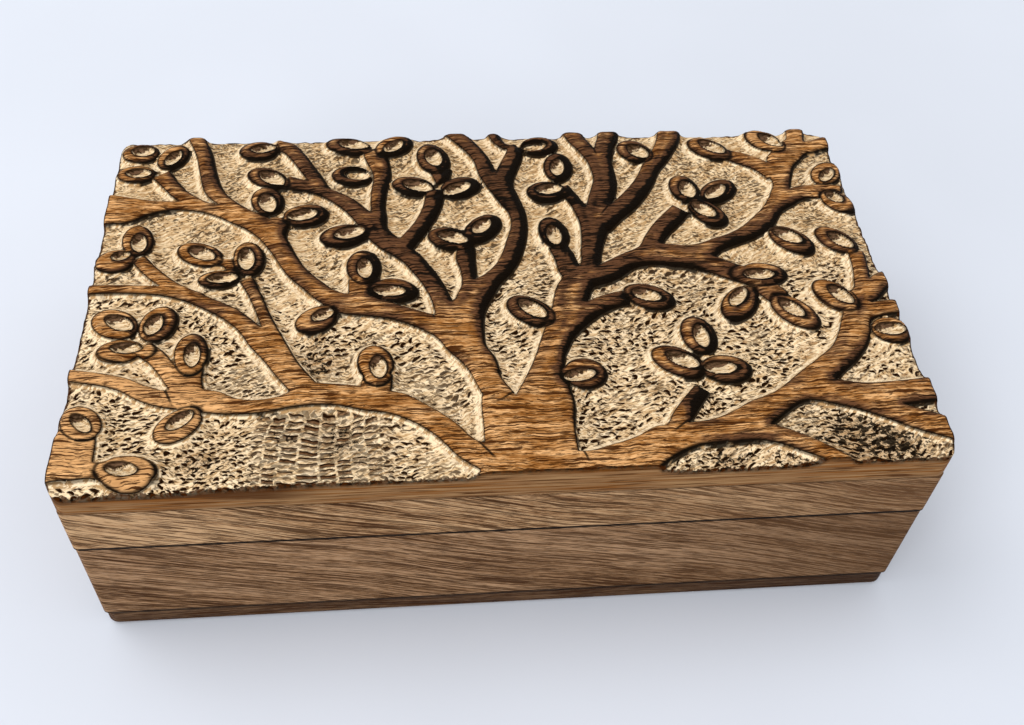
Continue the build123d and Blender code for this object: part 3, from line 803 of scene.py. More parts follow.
@dataclass
class Hollow:
    """The pocket of one leaf, measured from its rim in the solid."""

    middle: np.ndarray
    axis: np.ndarray
    half_length: float
    half_width: float
    powers: tuple[float, float] = (2.1, 1.7)      # along and across: a slightly pointed oval
    width_share: float = 0.75                     # of the half width in the mean size
    leaf_middle: np.ndarray | None = None
    leaf_half: np.ndarray | None = None

    @classmethod
    def from_rim(cls, rim: np.ndarray) -> "Hollow":
        """Measures a pocket.

        Args:
            rim: the points of its rim, in millimetres.

        Returns:
            The pocket.
        """
        gaps = np.linalg.norm(rim[:, None] - rim[None], axis=2)
        first, last = np.unravel_index(gaps.argmax(), gaps.shape)
        axis = (rim[last] - rim[first]) / gaps.max()
        middle = (rim[first] + rim[last]) / 2
        across = (rim - middle) @ to_left(axis)
        return cls(middle, axis, gaps.max() / 2, (across.max() - across.min()) / 2)

    @property
    def mean_size(self) -> float:
        """About how far the rim is from the middle."""
        return self.half_width * self.width_share + self.half_length * (1 - self.width_share)

    def _own(self, points: np.ndarray, middle: np.ndarray) -> np.ndarray:
        """Offsets of points from a middle, along the leaf and across it."""
        away = points - middle
        return np.column_stack([away @ self.axis, away @ to_left(self.axis)])

    def local(self, points: np.ndarray) -> tuple[np.ndarray, np.ndarray]:
        """Places along and across the pocket, 1 at its rim."""
        along, across = self._own(points, self.middle).T
        return along / self.half_length, across / self.half_width

    def rim(self, points: np.ndarray) -> np.ndarray:
        """Millimetres outside the pocket's rim, less than 0 within it."""
        along, across = np.abs(self.local(points))
        return (np.sqrt(along ** self.powers[0] + across ** self.powers[1]) - 1) * self.mean_size

    def fit_leaf(self, line: np.ndarray, width: float = 2.5, slack: float = 1.6) -> None:
        """Finds the leaf's own oval from the stretch of outline that follows it.

        Args:
            line: samples of the tree's outline.
            width: first guess of the wood round the pocket.
            slack: how far from the guess the outline may lie.
        """
        smallest, largest = [4.5, 3.6], [9.5, 6.5]
        stiffness = np.diag([4.0, 4.0, 8.0, 8.0])
        fewest_samples, outlier, rounds = 20, 0.5, 4
        self.leaf_middle = self.middle.copy()
        self.leaf_half = np.array([self.half_length + width, self.half_width + width])
        for _ in range(rounds):
            unit = self._own(line, self.leaf_middle) / self.leaf_half
            reach = np.hypot(*unit.T)
            gap = (reach - 1) * self.leaf_half.mean()
            near = np.abs(gap) < slack
            if near.sum() < fewest_samples:
                return
            way = unit[near] / reach[near, None]
            slope = np.column_stack([way, way**2])
            weighted = (slope / (1 + (gap[near] / outlier) ** 2)[:, None]).T
            step = np.linalg.solve(weighted @ slope + stiffness, weighted @ gap[near])
            self.leaf_middle += step[0] * self.axis + step[1] * to_left(self.axis)
            self.leaf_half = np.clip(self.leaf_half + step[2:], smallest, largest)

    def ring(self, points: np.ndarray) -> np.ndarray:
        """Millimetres outside the leaf's own outline."""
        unit = self._own(points, self.leaf_middle) / self.leaf_half
        return (np.hypot(*unit.T) - 1) * self.leaf_half.min()

    def lee(self, points: np.ndarray) -> np.ndarray:
        """1 at the end of the pocket with painted shade and -1 at the other."""
        along, across = self.local(points)
        return along * (self.axis @ LEE_WAY) + across * (to_left(self.axis) @ LEE_WAY)


@dataclass
class ReliefPlan:
    """Outlines of the carving, read from the solid and drawn smooth."""

    node: str
    corner: float = 4.0                       # radius of the board's upright corners
    corner_turn: float = math.radians(52)     # sharper turns of an outline stay corners
    sample_gap: float = 0.12
    flatness: float = 0.01                    # a face whose corners differ less in height is level
    level_slack: float = 0.05                 # how far from a level its faces may lie
    smallest_pocket: float = 2.0
    smallest_outline: float = 1.0
    rim_slack: float = 0.7                    # a line this near a pocket's rim is the rim

    def __post_init__(self) -> None:
        """Reads the levels, the leaves' pockets and the tree's outlines from the carved board's node."""
        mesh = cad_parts[self.node].data
        mesh.calc_loop_triangles()
        points = np.array([v.co for v in mesh.vertices]) / MM
        welded, index = np.unique(np.round(points, 3), axis=0, return_inverse=True)
        triangles = index.reshape(-1)[np.array([t.vertices for t in mesh.loop_triangles])]
        corners = welded[triangles]
        self.points = welded[:, :2]
        self.low, self.high = welded.min(0), welded.max(0)
        self.half = (self.high - self.low)[:2] / 2
        normals = np.cross(corners[:, 1] - corners[:, 0], corners[:, 2] - corners[:, 0])
        flat = (np.ptp(corners[:, :, 2], axis=1) < self.flatness) & (normals[:, 2] > 0)
        levels = np.unique(np.round(corners[flat, 0, 2], 1))
        self.ground, self.pocket, self.top = levels[0], levels[-2], levels[-1]
        pocket_loops, top_loops = (
            self._loops(self._rims(triangles[flat & (np.abs(corners[:, 0, 2] - level) < self.level_slack)]))
            for level in (self.pocket, self.top)
        )
        rims = [loop for loop in pocket_loops if np.ptp(loop, axis=0).min() > self.smallest_pocket]
        self.hollows = [Hollow.from_rim(rim) for rim in rims]
        outer = [
            loop
            for loop in top_loops
            if np.ptp(loop, axis=0).max() > self.smallest_outline
            and not any(np.abs(hollow.rim(loop)).max() < self.rim_slack for hollow in self.hollows)
        ]
        self.outlines = [self._smoothed(loop) for loop in outer]
        line = np.vstack(self.outlines)
        for hollow in self.hollows:
            hollow.fit_leaf(line)

    @staticmethod
    def _rims(triangles: np.ndarray) -> list[tuple[int, int]]:
        """Edges that only one of the triangles has, each with its triangle on the left."""
        edges = {(int(t[i]), int(t[(i + 1) % 3])) for t in triangles for i in range(3)}
        return [edge for edge in edges if (edge[1], edge[0]) not in edges]

    def _loops(self, edges: list[tuple[int, int]]) -> list[np.ndarray]:
        """Joins edges end to end.

        Args:
            edges: pairs of point numbers.

        Returns:
            The points of each closed line.
        """
        following = defaultdict(list)
        for start, end in sorted(edges):
            following[start].append(end)
        loops = []
        while following:
            start = next(iter(following))
            chain = [start]
            while following.get(chain[-1]):
                tail = chain[-1]
                chain.append(following[tail].pop())
                if not following[tail]:
                    del following[tail]
            loops.append(self.points[chain[:-1] if chain[0] == chain[-1] else chain])
        return loops

    def on_border(self, points: np.ndarray, slack: float = 0.05) -> np.ndarray:
        """Whether points lie on the board's own edge.

        Args:
            points: places in millimetres.
            slack: how far inside the edge still counts.

        Returns:
            True on the edge.
        """
        near = (np.abs(points) > self.half - slack).any(axis=-1)
        past = np.abs(points) - (self.half - self.corner)
        return near | ((past > 0).all(axis=-1) & (np.hypot(*np.moveaxis(past, -1, 0)) > self.corner - slack))

    def _smoothed(self, loop: np.ndarray) -> np.ndarray:
        """Rounds the gentle turns of a closed line and samples it closely.

        Args:
            loop: corner points.

        Returns:
            Close samples of the rounded line.
        """
        ahead = np.roll(loop, -1, axis=0) - loop
        length = np.linalg.norm(ahead, axis=1)
        ahead /= np.maximum(length, 1e-9)[:, None]
        behind = np.roll(ahead, 1, axis=0)
        turn = np.arccos(np.clip((ahead * behind).sum(1), -1, 1))
        border = self.on_border(loop)
        sharp = (turn > self.corner_turn) | border
        weight = np.roll(length, 1)[:, None]
        blend = ahead * weight + behind * length[:, None]
        blend /= np.maximum(np.linalg.norm(blend, axis=1), 1e-9)[:, None]
        leave = np.where(sharp[:, None], ahead, blend)
        arrive = np.where(sharp[:, None], behind, blend)
        samples = []
        for i in range(len(loop)):
            j = (i + 1) % len(loop)
            count = max(int(math.ceil(length[i] / self.sample_gap)), 1)
            t = (np.arange(count) / count)[:, None]
            a, b = leave[i] * length[i], arrive[j] * length[i]
            if border[i] and border[j]:
                a = b = loop[j] - loop[i]
            samples.append(
                (2 * t**3 - 3 * t**2 + 1) * loop[i]
                + (t**3 - 2 * t**2 + t) * a
                + (3 * t**2 - 2 * t**3) * loop[j]
                + (t**3 - t**2) * b
            )
        return np.vstack(samples)

    def inside(self, xs: np.ndarray, ys: np.ndarray) -> np.ndarray:
        """Whether points are within the tree's outline.

        Args:
            xs: places in millimetres.
            ys: places in millimetres.

        Returns:
            True on the tree.
        """
        result = np.zeros(xs.shape, bool)
        starts = np.vstack(self.outlines)
        ends = np.vstack([np.roll(line, -1, axis=0) for line in self.outlines])
        order = np.argsort(ys)
        sorted_y = ys[order]
        low, high = np.minimum(starts[:, 1], ends[:, 1]), np.maximum(starts[:, 1], ends[:, 1])
        first, last = np.searchsorted(sorted_y, low, "left"), np.searchsorted(sorted_y, high, "left")
        for k in np.nonzero(last > first)[0]:
            rows = order[first[k]:last[k]]
            (x0, y0), (x1, y1) = starts[k], ends[k]
            crossing = x0 + (ys[rows] - y0) * (x1 - x0) / (y1 - y0)
            result[rows] ^= xs[rows] < crossing
        return result


# ---- The pieces ----


@dataclass(frozen=True)
class Spot:
    """A soft round place where the flame lingered or soot lies."""

    x: float
    y: float
    reach: float
    strength: float


@dataclass(frozen=True)
class Dip:
    """A soft oval place where the ground is cut lower."""

    x: float
    y: float
    reach_x: float
    reach_y: float
    depth: float


def spots(*rows: tuple[float, float, float, float]) -> tuple[Spot, ...]:
    """Spots from rows of x, y, reach and strength."""
    return tuple(Spot(*row) for row in rows)


@dataclass
class CarvedBoard:
    """The lid's top board: the carved relief, its worn edges and the flat underside."""

    node: str = "carved_top_board"
    cell: float = 0.66                 # grid of the carved surface
    bevel: float = 0.8                 # of the lower edge
    shoulder: float = 1.9              # width over which a limb rounds off
    shoulder_drop: float = 0.75
    leaf_line: float = 0.5             # depth of the groove round a leaf that lies on a limb
    leaf_line_width: float = 0.6
    leaf_line_end: float = 1.2         # nearer to the outline than this the groove runs out
    foot: float = 0.62                 # width of the cut wall
    rise: float = 1.1                  # how far the ground climbs towards the tree
    rise_by_leaf: float = 0.4          # how much further it climbs next to a leaf
    beside_leaf: float = 3.0
    rise_reach: float = 1.7
    pocket_wall: float = 1.1           # width over which a leaf's pocket reaches its depth
    pocket_curve: float = 0.7          # less than 1 makes the pocket's floor rounder
    rim_snap: float = 0.3              # grid points this near a pocket's rim move onto it
    arris: float = 1.6                 # width of the worn upper edge
    arris_drop: float = 0.4
    side_rows: int = 5
    bevel_knee: float = 0.3            # where the lower edge's rounding turns
    below_top: float = 0.01            # the carving stays this far under the solid's top
    worn_from: float = -86.0           # the front left corner is worn down from here
    worn_reach: float = 14.0
    worn_drop: float = 2.2             # below the ground, at the very front
    worn_slope: float = 1.5
    flame: tuple[float, float] = (16.0, 30.0)          # middle of the burnt part of the tree
    flame_reach: tuple[float, float] = (108.0, 73.0)
    flame_strength: float = 0.94
    leaf_scorch: float = 0.3           # how much more of it the leaves take
    cut_lead: float = 2.5              # a knife cut fades in from this far before its start
    cut_fade: tuple[float, float] = (1.5, 2.5)         # over these lengths at its start and end
    cut_side: tuple[float, float] = (2.0, 0.8)         # how wide its shade is, and over what width it fades
    no_cut: float = 3.0                # the distance that stands for no cut near
    scorch_ripple: Ripple = Ripple(0.12, 9, 3)
    tree_ripple: Ripple = Ripple(0.12, 7, 11)
    ground_ripple: Ripple = Ripple(0.3, 5, 21)
    nick_ripple: Ripple = Ripple(0.3, 1.7, 22)
    arris_ripple: Ripple = Ripple(0.3, 3, 31)
    worn_ripple: Ripple = Ripple(0.5, 2.6, 41)
    dips: tuple[Dip, ...] = (Dip(-108, -76, 22, 7, 2.0), Dip(62, -76, 20, 7, 1.3))
    scorches: tuple[Spot, ...] = spots(
        (-84, -12, 14, 0.45),
        (-75, 62, 22, 0.4),
        (-98, 58, 16, 0.45),
        (-78, 24, 14, 0.05),
        (-78, 4, 12, 0.12),
        (64, -33, 20, 0.35),
        (54, -51, 6, 0.9),
        (82, -56, 30, 0.2),
        (110, 12, 16, 0.25),
        (20, -40, 12, 0.4),
        (-112, -55, 32, -0.6),
        (62, -64, 16, 0.25),
        (100, -46, 12, 0.15),
        (-62, -38, 12, 0.25),
        (104, -20, 12, 0.2),
        (115, -50, 20, 0.35),
        (118, -8, 14, 0.25),
        (-108, 20, 16, 0.15),
        (-105, -20, 16, 0.2),
    )
    soot: tuple[Spot, ...] = spots(
        (62, -76, 9, 0.9),
        (84, -75, 9, 1.1),
        (103, -67, 9, 1.0),
        (113, -70, 9, 0.9),
        (95, -61, 6, 0.5),
        (43, -46, 5, 0.6),
        (30, -27, 6, 0.6),
        (37, -19, 5, 0.5),
        (5, -20, 6, 0.5),
        (-57, -31, 8, 0.7),
        (-49, -61, 6, 0.7),
        (-65, -59, 6, 0.5),
        (-88, -66, 7, 0.5),
        (-95, -36, 8, 0.4),
        (60, -20, 9, 0.4),
        (20, -2, 8, 0.3),
    )
    cuts: tuple[tuple[float, float, float, float], ...] = (      # x and y of a knife cut's two ends
        (0.3, -47.2, -3.8, -50.2),
        (-9.2, -65.8, -5.5, -70.9),
        (18.8, -68.8, 20.2, -73.4),
        (49.6, -60.2, 44.9, -63.8),
        (100.8, -43.0, 97.3, -47.4),
        (75.4, -61.3, 73.5, -63.6),
        (-99.0, -41.3, -96.2, -47.4),
        (-21.5, -13.9, -20.4, -17.3),
        (39.4, 32.5, 36.6, 28.6),
        (39.7, 64.6, 40.1, 60.7),
        (5.2, 56.8, 2.8, 50.7),
        (-41.9, 36.6, -42.6, 34.1),
        (-43.9, -34.8, -41.4, -42.2),
    )
    plan: ReliefPlan | None = None

    def build(self) -> bpy.types.Object:
        """Carves the board and puts it in the lid.

        Returns:
            The finished piece.
        """
        self.plan = ReliefPlan(self.node)
        points, shape = self._grid()
        inset, facing, points = self._edges(points, shape)
        points = self._sharpen_pockets(points, inset)
        measures = self._measures(points, inset)
        measures["facing"] = facing
        heights = self._heights(points, measures)
        mesh = self._mesh(points, heights, shape, measures)
        board = bpy.data.objects.new("carved_board", mesh)
        bpy.context.scene.collection.objects.link(board)
        mesh.materials.append(Scorched().material())
        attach(board, "lid")
        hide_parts(self.node)
        return board

    def _grid(self) -> tuple[np.ndarray, tuple[int, int]]:
        """Lays the grid over the board, drawn in at its rounded corners.

        Returns:
            The grid's points, and its rows and columns.
        """
        half, radius = self.plan.half, self.plan.corner
        columns, rows = (int(round(2 * h / self.cell)) + 1 for h in half)
        x, y = np.meshgrid(np.linspace(-half[0], half[0], columns), np.linspace(-half[1], half[1], rows))
        points = np.column_stack([x.ravel(), y.ravel()])
        past = (np.abs(points) - (half - radius)) / radius
        corner = (past > 0).all(axis=1)
        pull = past[corner].max(axis=1) / np.hypot(*past[corner].T)
        past[corner] *= pull[:, None]
        points[corner] = np.sign(points[corner]) * (half - radius + past[corner] * radius)
        return points, (rows, columns)

    def _edges(self, points: np.ndarray, shape: tuple[int, int]) -> tuple[np.ndarray, np.ndarray, np.ndarray]:
        """Measures the grid against the tree's outline and moves the nearest points onto it.

        Args:
            points: the grid.
            shape: its rows and columns.

        Returns:
            Millimetres inside the outline, 1 where the tree's side looks to the right and front and -1 where it
            looks to the left and back, and the moved grid.
        """
        line = np.vstack(self.plan.outlines)
        line = line[~self.plan.on_border(line)]
        tree = KDTree(len(line))
        for index, (x, y) in enumerate(line):
            tree.insert((x, y, 0), index)
        tree.balance()
        found = [tree.find((x, y, 0)) for x, y in points]
        nearest = np.array([place[:2] for place, _, _ in found])
        distance = np.array([gap for _, _, gap in found])
        inside = self.plan.inside(*(points.T * 0.9999))      # drawn in a hair, so that the border's points count
        border = np.zeros(shape, bool)
        border[[0, -1], :] = True
        border[:, [0, -1]] = True
        outward = (points - nearest) * (np.where(inside, -1.0, 1.0) / (distance + 0.05))[:, None]
        outward = np.pad(outward.reshape(*shape, 2), ((1, 1), (1, 1), (0, 0)), mode="edge")
        outward = sum(outward[i:i + shape[0], j:j + shape[1]] for i in range(3) for j in range(3)).reshape(-1, 2)
        facing = outward @ SHADED_WAY / np.maximum(np.hypot(*outward.T), 0.01)
        free = ~border.ravel()
        snap = (distance < 0.5 * self.cell) & free
        foot = (np.abs(distance - self.foot) < 0.5 * self.cell) & free & ~snap & ~inside
        at_foot = nearest + (points - nearest) * (self.foot / np.maximum(distance, 0.01))[:, None]
        points = np.where(snap[:, None], nearest, np.where(foot[:, None], at_foot, points))
        distance = np.where(snap, 0.0, np.where(foot, self.foot, distance))
        return np.where(inside, distance, -distance), facing, points

    def _sharpen_pockets(self, points: np.ndarray, inset: np.ndarray) -> np.ndarray:
        """Moves the grid points nearest to a pocket's rim onto it.

        Args:
            points: the grid.
            inset: millimetres inside the tree's outline.

        Returns:
            The moved grid.
        """
        moved = points.copy()
        for hollow in self.plan.hollows:
            near = np.nonzero(np.linalg.norm(points - hollow.middle, axis=1) < hollow.half_length + 1)[0]
            near = near[inset[near] > 0.2]
            from_rim = hollow.rim(points[near])
            close = np.abs(from_rim) < self.rim_snap
            near, shrink = near[close], (1 + from_rim[close] / hollow.mean_size)[:, None]
            moved[near] = hollow.middle + (points[near] - hollow.middle) / shrink
        return moved

    def _measures(self, points: np.ndarray, inset: np.ndarray) -> dict[str, np.ndarray]:
        """What the finish needs to know at each point.

        Args:
            points: the grid.
            inset: millimetres inside the tree's outline.

        Returns:
            A number for each point by the name of the measure.
        """
        x, y = points.T
        rim, ring, lee = np.full(len(points), FAR), np.full(len(points), FAR), np.zeros(len(points))
        for hollow in self.plan.hollows:
            near = np.nonzero(np.linalg.norm(points - hollow.middle, axis=1) < hollow.half_length + FAR)[0]
            from_rim = hollow.rim(points[near])
            closer = from_rim < rim[near]
            rim[near] = np.where(closer, from_rim, rim[near])
            lee[near] = np.where(closer, hollow.lee(points[near]), lee[near])
            from_ring = hollow.ring(points[near])
            closer = (from_ring < 0) | (from_ring < ring[near]) & (ring[near] > 0)
            ring[near] = np.where(closer, from_ring, ring[near])
        (flame_x, flame_y), (reach_x, reach_y) = self.flame, self.flame_reach
        spread = ((x - flame_x) / reach_x) ** 2 + ((y - flame_y) / reach_y) ** 2
        scorch = np.clip(1.0 - spread, 0, 1) * self.flame_strength + self._spots(self.scorches, x, y)
        scorch += np.clip(0.5 - ring, 0, 1) * self.leaf_scorch * (scorch > 0) + self.scorch_ripple.at(x, y)
        cut, cut_depth = self._cuts(points)
        return {
            "inset": inset,
            "rim": rim,
            "ring": ring,
            "lee": lee,
            "scorch": np.clip(scorch, -0.5, 1.2),
            "soot": np.clip(self._spots(self.soot, x, y), 0, 1.2),
            "cut": cut,
            "cut_depth": cut_depth,
            "border": (self.plan.half - np.abs(points)).min(axis=1),
        }

    @staticmethod
    def _spots(group: tuple[Spot, ...], x: np.ndarray, y: np.ndarray) -> np.ndarray:
        """Sum of some soft round spots.

        Args:
            group: the spots.
            x: places in millimetres.
            y: places in millimetres.

        Returns:
            One value for each place.
        """
        total = np.zeros(len(x))
        for spot in group:
            total += spot.strength * np.exp(-((x - spot.x) ** 2 + (y - spot.y) ** 2) / spot.reach**2)
        return total

    def _cuts(self, points: np.ndarray) -> tuple[np.ndarray, np.ndarray]:
        """Measures points against the knife cuts.

        Args:
            points: the grid.

        Returns:
            Distance to the side of the nearest cut, and how deep the cut is there.
        """
        (fade_in, fade_out), (wide, fade_beside) = self.cut_fade, self.cut_side
        side, deep = np.full(len(points), self.no_cut), np.zeros(len(points))
        for x0, y0, x1, y1 in self.cuts:
            start, way = np.array([x0, y0]), np.array([x1 - x0, y1 - y0])
            length = np.linalg.norm(way)
            way /= length
            away = points - start
            along, across = away @ way, away @ to_left(way)
            here = np.clip((along + self.cut_lead) / fade_in, 0, 1) * np.clip((length - along) / fade_out, 0, 1)
            here *= np.clip((wide - np.abs(across)) / fade_beside, 0, 1)
            side = np.where(here > 0, across, side)
            deep = np.maximum(deep, here)
        return side, deep

    def _heights(self, points: np.ndarray, measures: dict[str, np.ndarray]) -> np.ndarray:
        """Height of each point of the carved surface.

        Args:
            points: the grid.
            measures: what is known at each point.

        Returns:
            The heights.
        """
        x, y = points.T
        plan = self.plan
        inset, rim, ring = measures["inset"], measures["rim"], measures["ring"]
        tree = plan.top - self.shoulder_drop * np.clip(1 - inset / self.shoulder, 0, 1) ** 2
        tree += self.tree_ripple.at(x, y) - self.tree_ripple.height
        groove = np.exp(-((ring / self.leaf_line_width) ** 2)) * np.clip(inset / self.leaf_line_end, 0, 1)
        tree -= self.leaf_line * groove
        ground = plan.ground + self.ground_ripple.at(x, y) + self.nick_ripple.at(x, y)
        climb = self.rise + self.rise_by_leaf * (ring < self.beside_leaf)
        ground += climb * np.exp(-((inset / self.rise_reach) ** 2))
        for dip in self.dips:
            ground -= dip.depth * np.exp(-(((x - dip.x) / dip.reach_x) ** 2) - ((y - dip.y) / dip.reach_y) ** 2)
        edge = plan.top - self.shoulder_drop
        wall = np.clip(1 + inset / self.foot, 0, 1)
        height = np.where(inset >= 0, tree, ground + (edge - ground) * wall)
        depth = plan.top - plan.pocket
        scoop = np.clip(-rim / self.pocket_wall, 0, 1) ** self.pocket_curve
        height -= np.where((rim < 0) & (inset > 0), depth * scoop, 0)
        rounded = np.clip(1 - measures["border"] / self.arris, 0, 1) ** 2
        height -= rounded * (self.arris_drop + self.arris_ripple.at(x, y))
        from_front = y + plan.half[1]
        worn = np.clip((self.worn_from - x) / self.worn_reach, 0, 1)
        chamfer = plan.ground - self.worn_drop + self.worn_slope * from_front + self.worn_ripple.at(x, y)
        height = np.where(worn > 0, np.minimum(height, chamfer * worn + plan.top * (1 - worn)), height)
        return np.minimum(height, plan.top - self.below_top)

    def _side_levels(self, outer: np.ndarray, top: np.ndarray) -> list[tuple[np.ndarray, np.ndarray]]:
        """Rings of points from the carved surface down the sides and round the lower edge.

        Args:
            outer: the points of the board's outline.
            top: the carved surface's heights there.

        Returns:
            Points and heights of each ring, going down.
        """
        under = self.plan.low[2]
        inner = outer * (1 - self.bevel / self.plan.half)
        levels = [(outer, top + (under + self.bevel - top) * (k + 1) / self.side_rows) for k in range(self.side_rows)]
        knee = outer * self.bevel_knee + inner * (1 - self.bevel_knee)
        levels.append((knee, np.full(len(outer), under + self.bevel_knee * self.bevel)))
        levels.append((inner, np.full(len(outer), under)))
        return levels

    def _mesh(
        self, points: np.ndarray, heights: np.ndarray, shape: tuple[int, int], measures: dict[str, np.ndarray]
    ) -> bpy.types.Mesh:
        """Joins the carved surface, the four sides and the underside into one closed mesh.

        Args:
            points: the grid.
            heights: its heights.
            shape: its rows and columns.
            measures: what the finish reads at each point.

        Returns:
            The mesh, in metres.
        """
        index = np.arange(len(points)).reshape(shape)
        quads = [np.stack([index[:-1, :-1], index[:-1, 1:], index[1:, 1:], index[1:, :-1]], axis=-1).reshape(-1, 4)]
        ring = np.concatenate([index[0, :-1], index[:-1, -1], index[-1, :0:-1], index[:0:-1, 0]])
        levels = self._side_levels(points[ring], heights[ring])
        coordinates = [np.column_stack([points, heights])]
        above = ring
        for level, (plan, height) in enumerate(levels):
            coordinates.append(np.column_stack([plan, height]))
            below = len(points) + level * len(ring) + np.arange(len(ring))
            quads.append(np.column_stack([above, below, np.roll(below, -1), np.roll(above, -1)]))
            above = below
        coordinates.append(np.array([[0.0, 0.0, self.plan.low[2]]]))
        centre = len(points) + len(levels) * len(ring)
        fan = np.column_stack([above, np.full(len(ring), centre), np.roll(above, -1)])
        mesh = bpy.data.meshes.new("carved_board")
        mesh.from_pydata(np.vstack(coordinates) * MM, [], np.vstack(quads).tolist() + fan.tolist())
        mesh.update()
        extra = len(mesh.vertices) - len(points)
        on_side = {name: (value, 0.0) for name, value in measures.items()}
        on_side["board_side"] = (np.zeros(len(points)), 1.0)
        for name, (value, beyond) in on_side.items():
            layer = mesh.attributes.new(name, "FLOAT", "POINT")
            layer.data.foreach_set("value", np.concatenate([value, np.full(extra, beyond)]).astype(np.float32))
        mesh.polygons.foreach_set("use_smooth", np.ones(len(mesh.polygons), bool))
        return mesh


def dress_node(node: str, material: bpy.types.Material) -> None:
    """Puts one material on a CAD node, which keeps its solid.

    Args:
        node: the node's name.
        material: what it gets.
    """
    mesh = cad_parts[node].data
    mesh.materials.clear()
    mesh.materials.append(material)
    log.info("dressed %s", node)


@dataclass
class Walls:
    """The mitred walls of the lid and the base, and the bottom board, which keep their solids."""

    runs: tuple[tuple[str, Run], ...] = (
        ("front", Run.ALONG_X),
        ("back", Run.ALONG_X),
        ("left", Run.ALONG_Y),
        ("right", Run.ALONG_Y),
    )
    figure_step: float = 40.0          # moves the figure from one wall to the next
    lid_wood: WallWood = WallWood("frame_wood_lid", arrises=((44.3, 1.0), (62.3, 0.3)))
    base_wood: WallWood = WallWood(
        "frame_wood_base",
        pale=paint(168, 133, 100),
        middle=paint(133, 99, 68),
        dark=paint(86, 58, 33),
        shift=13.0,
        arrises=((44.0, 1.0), (7.2, 0.8)),
    )
    bottom_wood: WallWood = WallWood(
        "bottom_wood",
        slant=0.0,
        pale=paint(106, 79, 54),
        middle=paint(81, 57, 38),
        dark=paint(48, 30, 18),
        arrises=((7.2, 0.8), (0.0, 0.5)),
    )

    def dress(self) -> None:
        """Gives each board its wood."""
        for box, wood in (("lid", self.lid_wood), ("base", self.base_wood)):
            for side, run in self.runs:
                shift = wood.shift + self.figure_step * len(side)
                own = replace(wood, name=f"{wood.name}_{side}", run=run, shift=shift)
                dress_node(f"{box}_{side}_wall", own.material())
        dress_node("bottom_board", self.bottom_wood.material())


@dataclass
class Hinges:
    """The two brass butt hinges with their screws and pins, which keep their solids."""

    sides: tuple[str, ...] = ("left", "right")
    leaf_brass: Metal = Metal("hinge_brass", paint(214, 180, 110), paint(150, 112, 58), 0.34)
    screw_brass: Metal = Metal("screw_brass", paint(206, 170, 102), paint(140, 104, 56), 0.3)
    pin_steel: Metal = Metal("pin_steel", paint(190, 188, 184), paint(120, 116, 110), 0.3)

    def dress(self) -> None:
        """Gives the hinge leaves, screws and pins their metals."""
        for metal, parts in (
            (self.leaf_brass, ("base_leaf", "lid_leaf")),
            (self.screw_brass, ("base_screws", "lid_screws")),
            (self.pin_steel, ("pin",)),
        ):
            material = metal.material()
            for side in self.sides:
                for part in parts:
                    dress_node(f"{side}_hinge_{part}", material)


# ---- The studio, in metres ----


@dataclass(frozen=True)
class Lamp:
    """A soft square lamp aimed at the box."""

    name: str
    place: Triple
    size: float
    watts: float
    aim: Triple = (0.0, 0.0, 0.03)

    def build(self) -> None:
        """Hangs the lamp."""
        light = bpy.data.lights.new(self.name, "AREA")
        light.size = self.size
        light.energy = self.watts
        lamp = bpy.data.objects.new(self.name, light)
        lamp.location = self.place
        lamp.rotation_euler = (Vector(self.aim) - Vector(self.place)).to_track_quat("-Z", "Y").to_euler()
        bpy.context.scene.collection.objects.link(lamp)


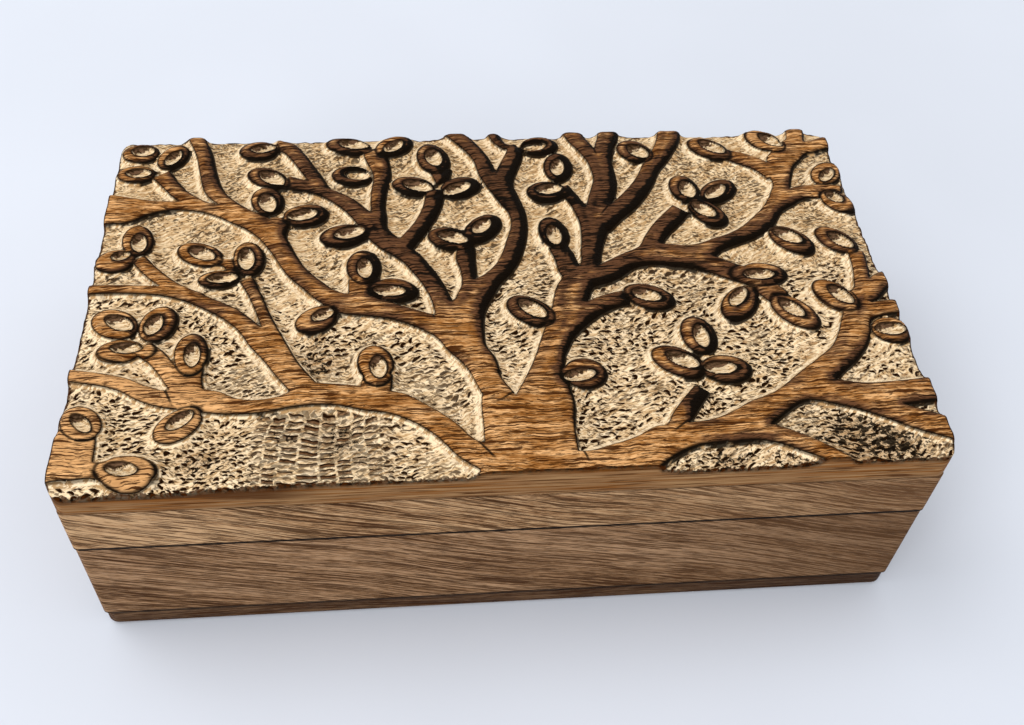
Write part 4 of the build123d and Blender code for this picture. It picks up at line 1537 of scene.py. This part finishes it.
@dataclass
class Studio:
    """Floor, lamps, room light and camera."""

    floor_size: float = 5.0
    clearance: float = 0.0001                  # keeps the floor off the box's underside
    floor: Linen = Linen()
    lamps: tuple[Lamp, ...] = (
        Lamp("window", (-1.15, 0.4, 2.3), 1.5, 24.5),
        Lamp("room", (-1.1, -1.6, 1.2), 1.6, 22.0),
    )
    fill: float = 0.84
    backdrop: Colour = paint(232, 238, 246)
    camera_place: Triple = (-0.02902, -0.25191, 0.32419)
    camera_turn: Triple = (41.137, -2.723, -4.897)     # degrees about X, Y and Z
    lens: float = 39.14                        # millimetres, as the film
    film: float = 36.0
    nearest: float = 0.01

    def build(self) -> None:
        """Sets up everything that is not the box."""
        scene = bpy.context.scene
        self._floor()
        for lamp in self.lamps:
            lamp.build()
        scene.world = self._world()
        scene.camera = self._camera()
        scene.view_settings.view_transform = "Standard"

    def _world(self) -> bpy.types.World:
        """Makes plain white light from all round, and the pale backdrop that the camera and reflections see.

        Returns:
            The world.
        """
        bench = Bench(bpy.data.worlds.new("room_light"))
        path = bench.node("ShaderNodeLightPath", output="Is Camera Ray")
        seen = path.most(path.beside("Is Glossy Ray")).most(path.beside("Is Transmission Ray"))
        light = bench.node("ShaderNodeBackground", values={"Color": (1.0, 1.0, 1.0), "Strength": self.fill})
        backdrop = bench.node("ShaderNodeBackground", values={"Color": self.backdrop, "Strength": 1.0})
        shader = bench.node("ShaderNodeMixShader", values={0: seen, 1: light, 2: backdrop})
        bench.surface("ShaderNodeOutputWorld", shader)
        return bench.owner

    def _floor(self) -> None:
        """A wide plane under the box."""
        half = self.floor_size / 2
        mesh = bpy.data.meshes.new("floor")
        corners = [(-half, -half), (half, -half), (half, half), (-half, half)]
        mesh.from_pydata([(x, y, -self.clearance) for x, y in corners], [], [(0, 1, 2, 3)])
        floor = bpy.data.objects.new("floor", mesh)
        bpy.context.scene.collection.objects.link(floor)
        mesh.materials.append(self.floor.material())

    def _camera(self) -> bpy.types.Object:
        """Places the camera over the front and a little to one side.

        Returns:
            The camera.
        """
        data = bpy.data.cameras.new("camera")
        data.lens = self.lens
        data.sensor_width = self.film
        data.clip_start = self.nearest
        camera = bpy.data.objects.new("camera", data)
        camera.location = self.camera_place
        camera.rotation_euler = [math.radians(turn) for turn in self.camera_turn]
        bpy.context.scene.collection.objects.link(camera)
        return camera


# ---- Putting it together ----


def main() -> None:
    """Builds and dresses every piece in order."""
    logging.basicConfig(level=logging.INFO, format="%(message)s")
    Studio().build()
    board = CarvedBoard().build()
    log.info("carved %s: %d faces", board.name, len(board.data.polygons))
    Walls().dress()
    Hinges().dress()


if __name__ == "__main__":
    main()
